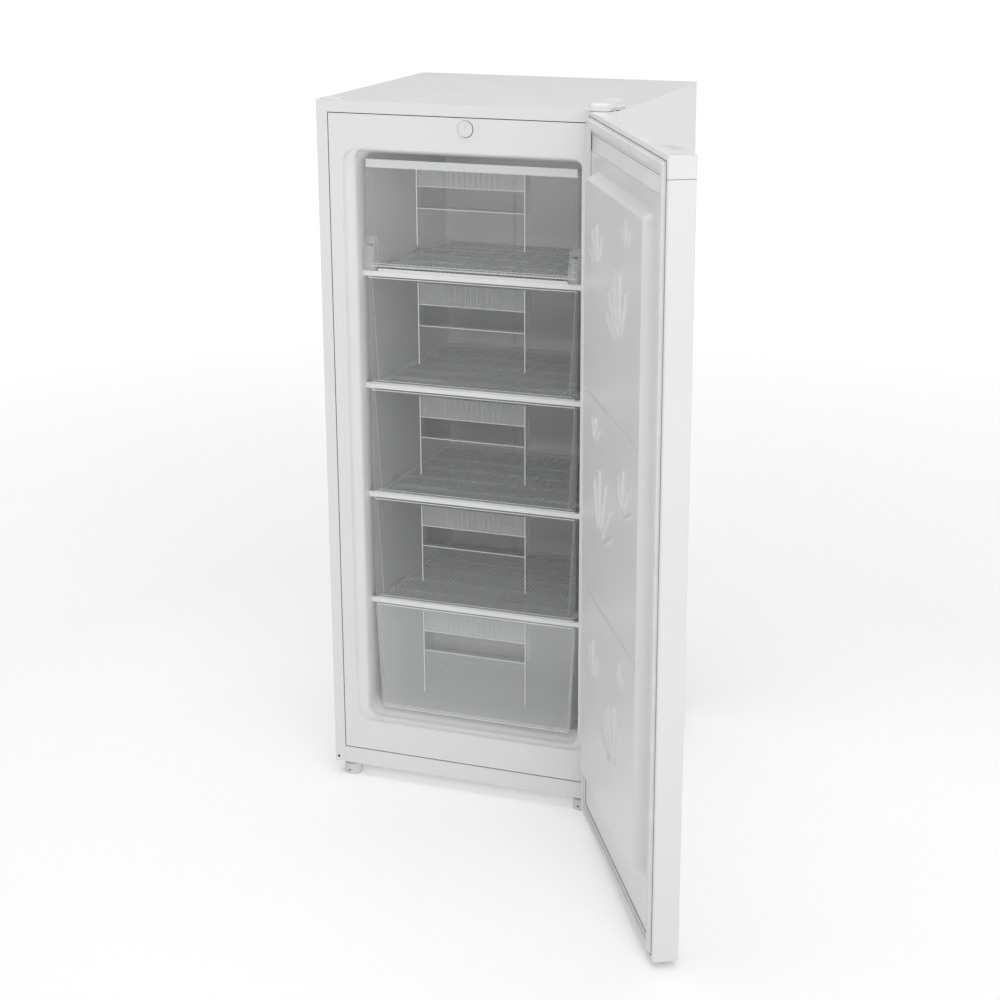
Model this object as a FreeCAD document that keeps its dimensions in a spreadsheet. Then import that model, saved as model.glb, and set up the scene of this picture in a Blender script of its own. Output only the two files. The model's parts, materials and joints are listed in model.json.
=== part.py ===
import FreeCAD, Part
import math
import os
import PartDesign
import Sketcher

Vector = FreeCAD.Vector

# Upright freezer with four pull-out drawers, a drop-down flap over the top shelf and a hinged door.
# The origin is the middle of the cabinet's footprint on the floor. +X is the hinge side, the door is
# on the -Y side and +Z is up. The door stands open, and its pieces are drawn closed and then swung
# about the hinge axis.

SIZES = [
    # cabinet
    ("cab_width", 545, "outside width of the cabinet"),
    ("cab_depth", 476, "outside depth of the cabinet without its door"),
    ("cab_top", 1265, "height of the cabinet's top over the floor"),
    ("base_gap", 26.4, "height of the cabinet's lower edge over the floor"),
    ("sheet", 1, "wall of the folded steel pieces"),
    ("side_flange", 21, "width of the wrapper's front flanges at the sides"),
    ("top_flange", 20.5, "height of the wrapper's front flange at the top"),
    ("rear_flange", 14, "width of the wrapper's flanges at the back"),
    ("edge_round", 1.5, "radius of the wrapper's folded edges"),
    ("mitre_slit", 0.7, "width of the mitred seams at the front's upper corners"),
    ("mitre_margin", 3, "distance of those seams from the outer corners"),
    ("sill_top", 58.3, "height of the front sill's upper edge"),
    ("sill_depth", 45, "depth of the sill's lower flange"),
    ("sill_lip", 12, "depth of the sill's upper flange"),
    ("sill_wall", 1.2, "wall of the sill"),
    ("fit", 0.3, "gap between neighbouring pieces"),
    # inner liner
    ("liner_wall", 2, "wall of the moulded inner liner"),
    ("liner_setback", 0.2, "how far the liner's face lies behind the flanges"),
    ("mouth_width", 456, "width of the rounded mouth at the front face"),
    ("mouth_bottom", 118, "height of the mouth's lower edge at the front face"),
    ("mouth_top", 1184, "height of the mouth's upper edge at the front face"),
    ("mouth_depth", 20, "depth of the rounding from the front face into the cavity"),
    ("mouth_corner", 30, "corner radius of the mouth"),
    ("lip_rise", 8, "how far the mouth's lower edge rises over the rounding"),
    ("lip_depth", 46, "depth at which the slope behind that edge reaches the floor"),
    ("room_width", 410, "width of the cavity behind the rounding"),
    ("room_floor", 138, "height of the cavity's floor"),
    ("room_ceiling", 1172, "height of the cavity's ceiling"),
    ("room_depth", 408, "depth of the cavity from the front face"),
    ("room_corner", 22, "corner radius of the cavity"),
    ("room_draft", 5, "how far each wall closes in towards the back"),
    ("hump_front", 292, "depth at which the step over the compressor starts"),
    ("hump_top", 300, "height of the step over the compressor"),
    ("ledge_reach", 4, "how far the shelf ledges stand out of the side walls"),
    ("ledge_height", 9, "height of a shelf ledge"),
    # compressor niche
    ("niche_depth", 145, "depth of the compressor niche from the back"),
    ("niche_top", 232, "height of the niche's roof"),
    ("plate_wall", 2, "wall of the compressor plate"),
    ("plate_lip", 14, "height of the compressor plate's upturned edges"),
    ("vent_side", 152, "distance of the plate's vent from the middle"),
    ("vent_width", 60, "width of the vent"),
    ("vent_depth", 55, "depth of the vent"),
    ("vent_back", 50, "distance of the vent from the cabinet's back"),
    ("vent_corner", 10, "corner radius of the vent"),
    # shelves, trims and drawers
    ("shelf_top", 967, "height of the uppermost shelf"),
    ("shelf_pitch", 204, "distance from one shelf to the next"),
    ("tube_width", 7, "thickness of the evaporator tube"),
    ("tube_pitch", 62, "distance between two runs of the evaporator tube"),
    ("tube_first", 38, "depth of the first run behind the front face"),
    ("shelf_reach", 398, "overall width of an evaporator shelf"),
    ("wire_width", 1.6, "thickness of a shelf wire"),
    ("wire_pitch", 17, "distance between two shelf wires"),
    ("trim_height", 10, "height of a shelf trim"),
    ("trim_depth", 16, "depth of a shelf trim"),
    ("trim_wall", 1.6, "wall of a shelf trim"),
    ("ridge_height", 4, "height of the ridge on the uppermost trim"),
    ("trim_front", 29, "depth of the trims' front faces"),
    ("riser_side", -60, "distance of the riser from the middle"),
    ("riser_top", 1100, "height at which the riser turns to the side"),
    ("riser_bend", 18, "bend radius of the riser"),
    ("front_setback", 30, "depth of the drawer fronts' faces"),
    ("front_width", 388, "width of a drawer front and of the flap"),
    ("front_wall", 2.5, "wall of a drawer front"),
    ("front_corner", 5, "corner radius of a drawer front"),
    ("rim_width", 5, "width of the raised rim round a drawer front"),
    ("rim_height", 2, "how far that rim stands out"),
    ("rail_height", 5, "height of a drawer front's upper rail"),
    ("drawer_gap", 1.5, "gap between a drawer and the trim over it"),
    ("rest_gap", 0.15, "gap under a piece that rests on a shelf"),
    ("drawer_wall", 2, "wall of a drawer"),
    ("drawer_depth", 350, "depth of the upper three drawers behind their fronts"),
    ("low_drawer_depth", 250, "depth of the lowest drawer, which stops before the step"),
    ("low_front_taper", 9, "how far each side of the lowest front closes in towards its foot"),
    ("drawer_draft", 10, "how far a drawer's sides close in towards its floor"),
    ("drawer_corner", 6, "corner radius of a drawer's back"),
    ("runner_height", 5, "height of the two runners under the lowest drawer's floor"),
    ("runner_width", 6, "width of a runner"),
    ("runner_side", 150, "distance of a runner's outer side from the middle"),
    ("runner_end", 12, "distance of the runners' ends from the lowest drawer's back"),
    ("drawer_lip", 3.5, "width of the lip along a drawer's upper edge"),
    ("grip_width", 197, "width of the finger pocket"),
    ("grip_band", 43, "height of the fluted band over the pocket's opening"),
    ("grip_window", 38, "height of the pocket's opening"),
    ("grip_depth", 24, "depth of the pocket"),
    ("grip_wall", 1.8, "wall of the pocket"),
    ("side_rib", 1.6, "width of the upright ribs beside the pocket"),
    ("rib_foot", 42, "height at which those ribs end over the front's lower edge"),
    ("flute_pitch", 10, "distance between two flutes"),
    ("flute_width", 3, "width of a flute"),
    ("flute_height", 1.2, "how far a flute stands out"),
    # flap
    ("flap_bottom", 975, "height of the flap's lower edge"),
    ("flap_top", 1163, "height of the flap's upper edge"),
    ("flap_rail", 14, "height of the flap's upper rail"),
    ("flap_axis", 981, "height of the flap's hinge axis"),
    ("flap_pin", 5, "diameter of the flap's pins"),
    ("flap_notch", 53, "height of the notches that clear the flap's brackets"),
    ("flap_lead", 0.5, "how far the hinge axis lies in front of the flap's face"),
    ("hub_wall", 1.5, "wall of the hub round the flap's pins"),
    ("pin_reach", 5, "length of the flap's pins"),
    ("bracket_overlap", 4, "how far the brackets stand behind the flap's notches"),
    ("bracket_width", 18, "width of a flap bracket"),
    ("bracket_height", 60, "height of a flap bracket"),
    ("bracket_depth", 24, "depth of a flap bracket"),
    ("bracket_wall", 3, "wall of a flap bracket"),
    ("bracket_lead", 8, "how far a bracket stands in front of the hinge axis"),
    ("bracket_shoulder", 24, "height at which a bracket's front starts to lean back"),
    # thermostat
    ("knob_side", 4, "distance of the knob from the middle, towards the hinges"),
    ("knob_level", 1225, "height of the knob"),
    ("knob_width", 27, "diameter of the knob"),
    ("knob_proud", 3, "how far the knob stands out of the front face"),
    ("knob_shaft", 6, "diameter of the knob's shaft"),
    ("shaft_length", 13, "length of the shaft behind the front face"),
    ("slot_width", 3, "width of the slot across the knob"),
    ("slot_length", 18, "length of that slot"),
    ("slot_depth", 1.4, "depth of that slot"),
    ("mark_depth", 0.6, "depth of the pointer line over the slot"),
    ("bezel_corner", 3, "corner radius of the plate round the knob"),
    ("control_width", 40, "width of the thermostat's body"),
    ("control_height", 30, "height of the thermostat's body"),
    ("control_depth", 40, "depth of the thermostat's body"),
    ("bezel_width", 48, "width of the plate round the knob"),
    ("bezel_height", 33, "height of the plate round the knob"),
    ("bezel_proud", 0.8, "how far that plate stands out"),
    # hinges
    ("hinge_inset", 17.6, "distance of the hinge axis from the door's hinge edge"),
    ("hinge_pin", 8, "diameter of the hinge pins"),
    ("pin_clearance", 0.06, "running clearance of a pin in its bush, on the radius"),
    ("hinge_plate", 3, "thickness of the hinge brackets"),
    ("hinge_width", 38, "width of the hinge brackets"),
    ("hinge_length", 46, "length of the upper bracket on the cabinet"),
    ("hinge_nose", 13, "how far the hinge brackets reach in front of the hinge axis"),
    ("hinge_chamfer", 8, "chamfer at the hinge brackets' corners"),
    ("cover_height", 13, "height of the hollow in the upper hinge's cover"),
    ("cover_wall", 3, "roof of that cover"),
    ("cover_corner", 13, "corner radius of that cover"),
    ("screw_width", 8, "width of a hinge screw's head over its flats"),
    ("screw_height", 2.6, "height of a hinge screw's head"),
    ("hole_cap_width", 38, "width of the cap over the unused hinge holes"),
    ("hole_cap_depth", 31, "depth of that cap"),
    ("hole_cap_height", 2.4, "height of that cap"),
    ("hole_cap_side", 6, "distance of that cap from the cabinet's side"),
    ("hole_cap_setback", 5, "distance of that cap from the cabinet's front"),
    # door
    ("door_width", 541, "width of the door"),
    ("door_thick", 42.2, "thickness of the door without its gasket"),
    ("door_gap", 6.4, "gap between the closed door and the cabinet"),
    ("door_bottom", 11.3, "height of the door's lower edge"),
    ("door_top", 1267.4, "height of the door's upper edge"),
    ("door_face", 22.6, "distance of the hinge axis from the door's outer face"),
    ("door_angle", 120.2, "how far the door stands open"),
    ("door_round", 3, "radius of the door's upright edges"),
    ("door_return", 12, "width of the skin's flanges on the inner face"),
    ("cap_height", 33.4, "visible height of the top cap"),
    ("cap_root", 28, "how far the top cap reaches down inside the skin"),
    ("scoop_depth", 25, "depth of the finger scoop from the outer face"),
    ("scoop_drop", 20, "how far the scoop reaches below the skin's upper edge"),
    ("scoop_lip", 4, "wall between the scoop and the skin"),
    ("hinge_pad", 30, "length of the cap's full-width pad at the hinge"),
    ("free_pad", 62, "length of the cap's full-width pad at the free edge"),
    ("scoop_ease", 90, "length of the curve from the scoop out to the free pad"),
    ("foot_cap", 18, "height of the bottom cap inside the skin"),
    ("door_liner_wall", 2.5, "wall of the door's inner liner"),
    ("dyke_height", 18.4, "how far the raised panel stands out of the door"),
    ("dyke_foot_width", 424, "width of the raised panel at its foot"),
    ("dyke_top_width", 404, "width of the raised panel at its crest"),
    ("dyke_foot_low", 118, "lower edge of the raised panel at its foot"),
    ("dyke_foot_high", 1180, "upper edge of the raised panel at its foot"),
    ("dyke_slope", 11, "how far the panel's edges close in from foot to crest"),
    ("dyke_corner", 26, "corner radius of the raised panel"),
    ("groove_low", 481, "height of the lower groove across the raised panel"),
    ("groove_high", 823, "height of the upper groove across the raised panel"),
    ("groove_width", 4, "width of those grooves"),
    ("groove_sink", 1.2, "depth of those grooves"),
    ("groove_margin", 12, "distance of a groove's ends from the panel's crest"),
    ("crest_chamfer", 2.2, "chamfer along the raised panel's crest"),
    ("fan_side", 60, "distance of a fan's root from the door's middle"),
    ("fan_lean", 22, "angle between two blades of a fan"),
    ("blade_root", 26, "distance of a blade from its fan's root"),
    ("blade_length", 118, "length of the longest embossed blade"),
    ("blade_width", 10, "width of an embossed blade"),
    ("blade_height", 0.9, "how far an embossed blade stands out"),
    ("gasket_inset", 9, "distance of the gasket from the door's edges"),
    ("gasket_width", 20, "width of the gasket's base"),
    ("gasket_base", 1.6, "thickness of the gasket's base"),
    ("bulb_inset", 3, "distance of the gasket's bulb from the base's outer edge"),
    ("bulb_width", 12, "width of the gasket's bulb"),
    ("bulb_height", 4.2, "height of the gasket's bulb"),
    ("bulb_round", 1.5, "chamfer along the gasket's bulb"),
    ("bush_width", 14, "outer diameter of the hinge bushes"),
    ("bush_length", 16, "length of the hinge bushes"),
    ("plug_width", 12, "diameter of the plug in the unused hinge hole"),
    ("plug_depth", 9, "how deep the plug sits"),
    ("cell_wall", 3, "ribs between the bottom cap's cells"),
    # feet
    ("foot_side", 243, "distance of the left foot from the middle"),
    ("foot_side_hinge", 213, "distance of the right foot, which clears the hinge bracket"),
    ("foot_setback", 17.5, "depth of the front feet behind the front face"),
    ("foot_width", 33, "diameter of a levelling foot"),
    ("foot_disc", 11, "height of a levelling foot's disc"),
    ("foot_stud", 8, "diameter of a levelling foot's stud"),
    ("foot_nut", 14, "width of a levelling foot's hexagon over its flats"),
    ("stud_reach", 18, "how far the stud reaches into the cabinet"),
    ("rear_foot_width", 30, "diameter of a rear foot"),
    ("rear_foot_side", 238.5, "distance of a rear foot from the middle"),
    ("rear_foot_back", 32, "distance of a rear foot from the cabinet's back"),
    # cooling circuit at the back
    ("can_width", 138, "diameter of the compressor's shell"),
    ("can_height", 148, "height of the compressor's shell"),
    ("can_wall", 3.2, "wall of the compressor's shell"),
    ("can_side", -70, "distance of the compressor from the middle"),
    ("can_back", 62, "distance of the compressor's axis from the cabinet's back"),
    ("grommet_height", 12, "height of the rubber mounts"),
    ("grommet_width", 20, "diameter of the rubber mounts"),
    ("foot_plate", 3, "thickness of the compressor's stamped feet"),
    ("mount_hole", 12, "diameter of the holes in those feet"),
    ("seam_height", 8, "height of the compressor's weld flange"),
    ("seam_width", 144, "diameter of the weld flange"),
    ("lid_depth", 32, "how far the terminal cover stands out"),
    ("lid_width", 52, "width of the terminal cover"),
    ("lid_height", 29, "height of the terminal cover"),
    ("coil_tube", 5, "thickness of the condenser tube"),
    ("coil_width", 470, "overall width of the condenser"),
    ("coil_low", 300, "height of the condenser's lowest run"),
    ("coil_pitch", 96, "distance between two runs of the condenser"),
    ("coil_off", 22, "distance of the condenser from the cabinet's back"),
    ("coil_wire", 1.6, "thickness of a condenser wire"),
    ("coil_wire_pitch", 24, "distance between two condenser wires"),
    ("clip_side", 180, "distance of the condenser's clips from the middle"),
    ("clip_width", 8, "width of a clip's arm"),
    ("clip_base", 24, "width of a clip's foot"),
    ("clip_height", 18, "height of a clip"),
    ("coil_overhang", 12, "how far the condenser's wires pass its outer runs"),
    ("pipe_width", 6, "diameter of the connecting pipes"),
    ("pipe_bend", 12, "bend radius of the connecting pipes"),
    ("drier_width", 18, "diameter of the filter drier"),
    ("drier_low", 150, "height of the filter drier's lower end"),
    ("drier_length", 76, "length of the filter drier"),
    ("capillary_width", 2.4, "diameter of the capillary"),
    ("capillary_drop", 22, "how far the capillary hangs under the drier"),
    ("drain_width", 16, "diameter of the drain tube"),
    ("drain_side", -140, "distance of the drain from the middle"),
    ("drain_setback", 62, "depth of the drain behind the front face"),
    ("drain_wall", 2, "wall of the drain tube"),
    ("gland_side", 202.5, "distance of the mains lead's gland from the middle"),
    ("gland_rise", 10, "height of the gland over the compressor plate"),
    ("gland_width", 18, "diameter of the gland's collar"),
    ("gland_collar", 6, "length of the gland's collar"),
    ("gland_sleeve", 12, "diameter of the gland's sleeve"),
    ("gland_reach", 8, "length of the gland's sleeve"),
    ("lead_bore", 7, "diameter of the gland's bore"),
]
SHELVES = 4
TUBE_RUNS = 6
SHELF_WIRES = 22
FLUTES = 11
COIL_RUNS = 10
COIL_WIRES = 18

document = FreeCAD.newDocument("UprightFreezer")
sheet = document.addObject("Spreadsheet::Sheet", "Sizes")
for row, (alias, number, note) in enumerate(SIZES, start=1):
    sheet.set(f"A{row}", alias)
    sheet.set(f"B{row}", str(number))
    sheet.set(f"C{row}", note)
    sheet.setAlias(f"B{row}", alias)
document.recompute()


class Size:
    """A length that keeps both its number and the expression that drives it."""

    def __init__(self, number, text):
        self.number = number
        self.text = text

    def __add__(self, other):
        return Size(self.number + plain(other), f"({self.text} + {words(other)})")

    def __radd__(self, other):
        return Size(plain(other) + self.number, f"({words(other)} + {self.text})")

    def __sub__(self, other):
        return Size(self.number - plain(other), f"({self.text} - {words(other)})")

    def __rsub__(self, other):
        return Size(plain(other) - self.number, f"({words(other)} - {self.text})")

    def __mul__(self, other):
        return Size(self.number * plain(other), f"({self.text} * {words(other)})")

    def __rmul__(self, other):
        return Size(plain(other) * self.number, f"({words(other)} * {self.text})")

    def __truediv__(self, other):
        return Size(self.number / plain(other), f"({self.text} / {words(other)})")

    def __neg__(self):
        return Size(-self.number, f"(0 - {self.text})")


def plain(value):
    return value.number if isinstance(value, Size) else float(value)


def words(value):
    return value.text if isinstance(value, Size) else f"({float(value)!r})"


class Sheet:
    """Every driving dimension by its name."""


mm = Sheet()
for alias, number, note in SIZES:
    setattr(mm, alias, Size(float(sheet.get(alias)), f"Sizes.{alias}"))

nodes = []


def bind(thing, path, value):
    thing.setExpression(path, words(value))


def body(label, keep=True):
    piece = document.addObject("PartDesign::Body", label)
    piece.Label = label
    if keep:
        nodes.append(piece)
    return piece


def sketch_on(piece, plane, at=0, shift=(0, 0)):
    """A sketch on XY at a height, on XZ at a depth or on YZ at a side position."""
    outline = piece.newObject("Sketcher::SketchObject", "Outline")
    for feature in piece.Origin.OriginFeatures:
        if feature.Role == plane + "_Plane":
            outline.AttachmentSupport = (feature, [""])
    outline.MapMode = "FlatFace"
    outline.addProperty("App::PropertyString", "Plane")
    outline.Plane = plane
    bind(outline, "AttachmentOffset.Base.x", shift[0])
    bind(outline, "AttachmentOffset.Base.y", shift[1])
    bind(outline, "AttachmentOffset.Base.z", -1 * at if plane == "XZ" else at)
    return outline


def place_point(outline, geometry, corner, x, y):
    for kind, value in (("DistanceX", x), ("DistanceY", y)):
        index = outline.addConstraint(Sketcher.Constraint(kind, geometry, corner, plain(value)))
        bind(outline, f"Constraints[{index}]", value)


def point(x, y):
    return Vector(plain(x), plain(y), 0)


def polyline(outline, corners, closed=False):
    """Straight sides through a list of corners, each of them fixed by its own coordinates."""
    first = outline.GeometryCount
    count = len(corners) if closed else len(corners) - 1
    for k in range(count):
        start = point(*corners[k])
        end = point(*corners[(k + 1) % len(corners)])
        outline.addGeometry(Part.LineSegment(start, end), False)
    for k in range(count if closed else count - 1):
        after = first + (k + 1) % count
        outline.addConstraint(Sketcher.Constraint("Coincident", first + k, 2, after, 1))
    for k in range(count):
        place_point(outline, first + k, 1, *corners[k])
    if not closed:
        place_point(outline, first + count - 1, 2, *corners[-1])


def polygon(outline, corners):
    polyline(outline, corners, closed=True)


def rectangle(outline, left, bottom, right, top):
    polygon(outline, [(left, bottom), (right, bottom), (right, top), (left, top)])


def round_rectangle(outline, left, bottom, right, top, radius, chords=3):
    """A rectangle whose corners are rounded by a few chords of a quarter circle."""
    centres = [
        (right - radius, bottom + radius), (right - radius, top - radius),
        (left + radius, top - radius), (left + radius, bottom + radius),
    ]
    corners = []
    for k, (x, y) in enumerate(centres):
        for step in range(chords + 1):
            turn = math.pi / 2 * (k - 1 + step / chords)
            corners.append((x + radius * math.cos(turn), y + radius * math.sin(turn)))
    polygon(outline, corners)


def regular(outline, x, y, width, sides=8):
    """A regular outline with flats towards both axes, as wide over its flats as the width."""
    reach = width / (2 * math.cos(math.pi / sides))
    corners = []
    for k in range(sides):
        turn = math.pi / sides * (2 * k + 1)
        corners.append((x + reach * math.cos(turn), y + reach * math.sin(turn)))
    polygon(outline, corners)


def circle(outline, x, y, radius):
    ring = outline.addGeometry(Part.Circle(point(x, y), Vector(0, 0, 1), plain(radius)), False)
    place_point(outline, ring, 3, x, y)
    index = outline.addConstraint(Sketcher.Constraint("Radius", ring, plain(radius)))
    bind(outline, f"Constraints[{index}]", radius)


def grows_up(outline, up):
    """Whether a pad has to be reversed to grow towards the positive axis."""
    return up == (outline.Plane == "XZ")


def pad(piece, outline, length, up=True, middle=False):
    feature = piece.newObject("PartDesign::Pad", "Pad")
    feature.Profile = outline
    bind(feature, "Length", length)
    feature.Reversed = grows_up(outline, up)
    if middle:
        feature.Reversed = False
        feature.Midplane = True
    document.recompute()
    return feature


def pocket(piece, outline, length, up=True, middle=False):
    before = piece.Shape.Volume
    feature = piece.newObject("PartDesign::Pocket", "Pocket")
    feature.Profile = outline
    bind(feature, "Length", length)
    feature.Reversed = not grows_up(outline, up)
    if middle:
        feature.Reversed = False
        feature.Midplane = True
    document.recompute()
    if piece.Shape.Volume > before - 1e-3:
        raise RuntimeError(f"a pocket of {piece.Label} removes nothing")
    return feature


def loft(piece, sections, cut=False):
    kind = "PartDesign::SubtractiveLoft" if cut else "PartDesign::AdditiveLoft"
    feature = piece.newObject(kind, "Loft")
    feature.Profile = sections[0]
    feature.Sections = sections[1:]
    feature.Ruled = True
    document.recompute()
    return feature


def straight_along(edge, axis):
    if not isinstance(edge.Curve, (Part.Line, Part.LineSegment)):
        return False
    return abs(abs(edge.Curve.Direction.dot(axis)) - 1) < 1e-6


def finish_edges(piece, kind, size, choose):
    """Rounds or chamfers the edges that the choose function picks."""
    base = piece.Tip
    names = [f"Edge{k}" for k, edge in enumerate(base.Shape.Edges, start=1) if choose(edge)]
    if not names:
        raise RuntimeError(f"{piece.Label} has no such edge")
    feature = piece.newObject(f"PartDesign::{kind}", kind)
    feature.Base = (base, names)
    bind(feature, "Radius" if kind == "Fillet" else "Size", size)
    piece.Tip = feature
    document.recompute()
    return feature


def row_of(piece, feature, axis, length, count):
    """Repeats a feature along one of the body's own axes."""
    pattern = piece.newObject("PartDesign::LinearPattern", "Row")
    pattern.Originals = [feature]
    line = [f for f in piece.Origin.OriginFeatures if f.Role == axis + "_Axis"][0]
    pattern.Direction = (line, [""])
    bind(pattern, "Length", length)
    pattern.Occurrences = count
    piece.Tip = pattern
    document.recompute()
    return pattern


def join(label, kind, members, keep=True):
    """A boolean or a group of bodies as one sub-part."""
    result = document.addObject(f"Part::{kind}", label)
    result.Label = label
    if kind == "Cut":
        result.Base, result.Tool = members
    elif kind == "Compound":
        result.Links = members
    else:
        result.Shapes = members
    if keep:
        nodes.append(result)
    document.recompute()
    return result


def bent_tube(label, path, width, bend, sides=8, keep=True):
    """A tube with flat sides along straight runs, each bend of which is made of three chords."""
    corners = [Vector(*(plain(value) for value in place)) for place in path]
    line = [corners[0]]
    for k in range(1, len(corners) - 1):
        before = (corners[k - 1] - corners[k]).normalize()
        after = (corners[k + 1] - corners[k]).normalize()
        for step in range(4):
            turn = math.pi / 6 * step
            line.append(corners[k] + before * bend * (1 - math.sin(turn)) + after * bend * (1 - math.cos(turn)))
    line.append(corners[-1])
    ahead = (corners[1] - corners[0]).normalize()
    side = Vector(0, 1, 0) if abs(ahead.y) < 0.5 else Vector(0, 0, 1)
    other = ahead.cross(side)
    reach = plain(width) / 2 / math.cos(math.pi / sides)
    ring = []
    for k in range(sides + 1):
        turn = math.pi / sides * (2 * k + 1)
        ring.append(corners[0] + side * reach * math.cos(turn) + other * reach * math.sin(turn))
    path_wire = Part.makePolygon(line)
    tube = path_wire.makePipeShell([Part.makePolygon(ring)], True, False, 1)
    area = sides * (plain(width) / 2) ** 2 * math.tan(math.pi / sides)
    if abs(tube.Volume / (area * path_wire.Length) - 1) > 0.03:
        raise RuntimeError(f"{label} does not have the volume of its path")
    piece = document.addObject("Part::Feature", label)
    piece.Label = label
    piece.Shape = tube
    if keep:
        nodes.append(piece)
    return piece


FRONT = -mm.cab_depth / 2
BACK = mm.cab_depth / 2
HALF = mm.cab_width / 2
LINER_FACE = FRONT + mm.liner_setback
NICHE_FRONT = BACK - mm.niche_depth
HINGE_X = mm.door_width / 2 - mm.hinge_inset
HINGE_Y = FRONT - mm.door_gap - mm.door_thick + mm.door_face
TUBE_DROP = mm.wire_width + mm.tube_width / 2


def shelf_height(level):
    """The top of a shelf, counted from 0 at the uppermost."""
    return mm.shelf_top - level * mm.shelf_pitch


# ---- cabinet ----


def build_outer_shell():
    """Folded steel wrapper: top, two sides, front and rear flanges, mitred at the front corners."""
    piece = body("outer_shell")
    block = sketch_on(piece, "XY", mm.base_gap)
    rectangle(block, -HALF, FRONT, HALF, BACK)
    pad(piece, block, mm.cab_top - mm.base_gap)
    depth = Vector(0, 1, 0)
    upright = Vector(0, 0, 1)
    finish_edges(piece, "Fillet", mm.edge_round, lambda edge: straight_along(edge, upright)
                 and edge.CenterOfMass.y < 0 or straight_along(edge, depth) and edge.CenterOfMass.z > 900)
    hollow = sketch_on(piece, "XY", mm.base_gap)
    rectangle(hollow, -HALF + mm.sheet, FRONT + mm.sheet, HALF - mm.sheet, BACK - mm.sheet)
    pocket(piece, hollow, mm.cab_top - mm.base_gap - mm.sheet)
    window = sketch_on(piece, "XZ", FRONT)
    side = HALF - mm.side_flange
    rectangle(window, -side, mm.base_gap, side, mm.cab_top - mm.top_flange)
    pocket(piece, window, mm.sheet)
    opening = sketch_on(piece, "XZ", BACK)
    side = HALF - mm.rear_flange
    rectangle(opening, -side, mm.base_gap, side, mm.cab_top - mm.rear_flange)
    pocket(piece, opening, mm.sheet, up=False)
    slit = mm.mitre_slit / 2
    margin = mm.mitre_margin
    for hand in (-1, 1):
        mitre = sketch_on(piece, "XZ", FRONT)
        outer = (hand * (HALF - margin), mm.cab_top - margin)
        inner = (hand * (HALF - mm.side_flange), mm.cab_top - mm.top_flange)
        polygon(mitre, [
            (outer[0] - slit, outer[1] - slit * hand), (outer[0] + slit, outer[1] + slit * hand),
            (inner[0] + slit, inner[1] + slit * hand), (inner[0] - slit, inner[1] - slit * hand),
        ])
        pocket(piece, mitre, mm.sheet)


def build_rear_panel():
    piece = body("rear_panel")
    panel = sketch_on(piece, "XZ", BACK - mm.sheet)
    side = HALF - mm.sheet
    rectangle(panel, -side, mm.niche_top, side, mm.cab_top - mm.sheet)
    pad(piece, panel, mm.sheet, up=False)


def build_bottom_panel():
    """Sheet under the insulation that steps up to make the niche's front wall and roof."""
    piece = body("bottom_panel")
    section = sketch_on(piece, "YZ")
    start = FRONT + mm.sill_lip + mm.fit
    end = BACK - 2 * mm.sheet
    wall = NICHE_FRONT - mm.sheet
    polygon(section, [
        (start, mm.sill_top - mm.sheet), (NICHE_FRONT, mm.sill_top - mm.sheet),
        (NICHE_FRONT, mm.niche_top - mm.sheet), (end, mm.niche_top - mm.sheet),
        (end, mm.niche_top), (wall, mm.niche_top), (wall, mm.sill_top), (start, mm.sill_top),
    ])
    pad(piece, section, mm.cab_width - 2 * mm.sheet, middle=True)
    drain = sketch_on(piece, "XY", mm.sill_top - mm.sheet)
    regular(drain, mm.drain_side, FRONT + mm.drain_setback, mm.drain_width)
    pocket(piece, drain, mm.sheet)


def build_compressor_plate():
    """Shallow steel tray across the niche, between the side panels."""
    piece = body("compressor_plate")
    tray = sketch_on(piece, "YZ")
    low = mm.base_gap
    start, end = NICHE_FRONT + mm.fit, BACK - mm.sheet - mm.fit
    wall = mm.plate_wall
    polygon(tray, [
        (start, low), (end, low), (end, low + mm.plate_lip), (end - wall, low + mm.plate_lip),
        (end - wall, low + wall), (start + wall, low + wall), (start + wall, low + mm.plate_lip),
        (start, low + mm.plate_lip),
    ])
    pad(piece, tray, mm.cab_width - 2 * mm.sheet, middle=True)
    slots = sketch_on(piece, "XY", low)
    far = BACK - mm.vent_back
    left = mm.vent_side - mm.vent_width / 2
    round_rectangle(slots, left, far - mm.vent_depth, left + mm.vent_width, far, mm.vent_corner)
    pocket(piece, slots, wall)


def build_front_sill():
    piece = body("front_sill")
    section = sketch_on(piece, "YZ")
    low, high, wall = mm.base_gap, mm.sill_top - mm.fit, mm.sill_wall
    face = FRONT
    polygon(section, [
        (face, low), (face + mm.sill_depth, low), (face + mm.sill_depth, low + wall),
        (face + wall, low + wall), (face + wall, high - wall), (face + mm.sill_lip, high - wall),
        (face + mm.sill_lip, high), (face, high),
    ])
    pad(piece, section, mm.cab_width - 2 * mm.side_flange - 2 * mm.fit, middle=True)
    holes = sketch_on(piece, "XY", low)
    for side in (-mm.foot_side, mm.foot_side_hinge):
        regular(holes, side, FRONT + mm.foot_setback, mm.foot_stud + 4 * mm.fit, 12)
    pocket(piece, holes, wall)


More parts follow.
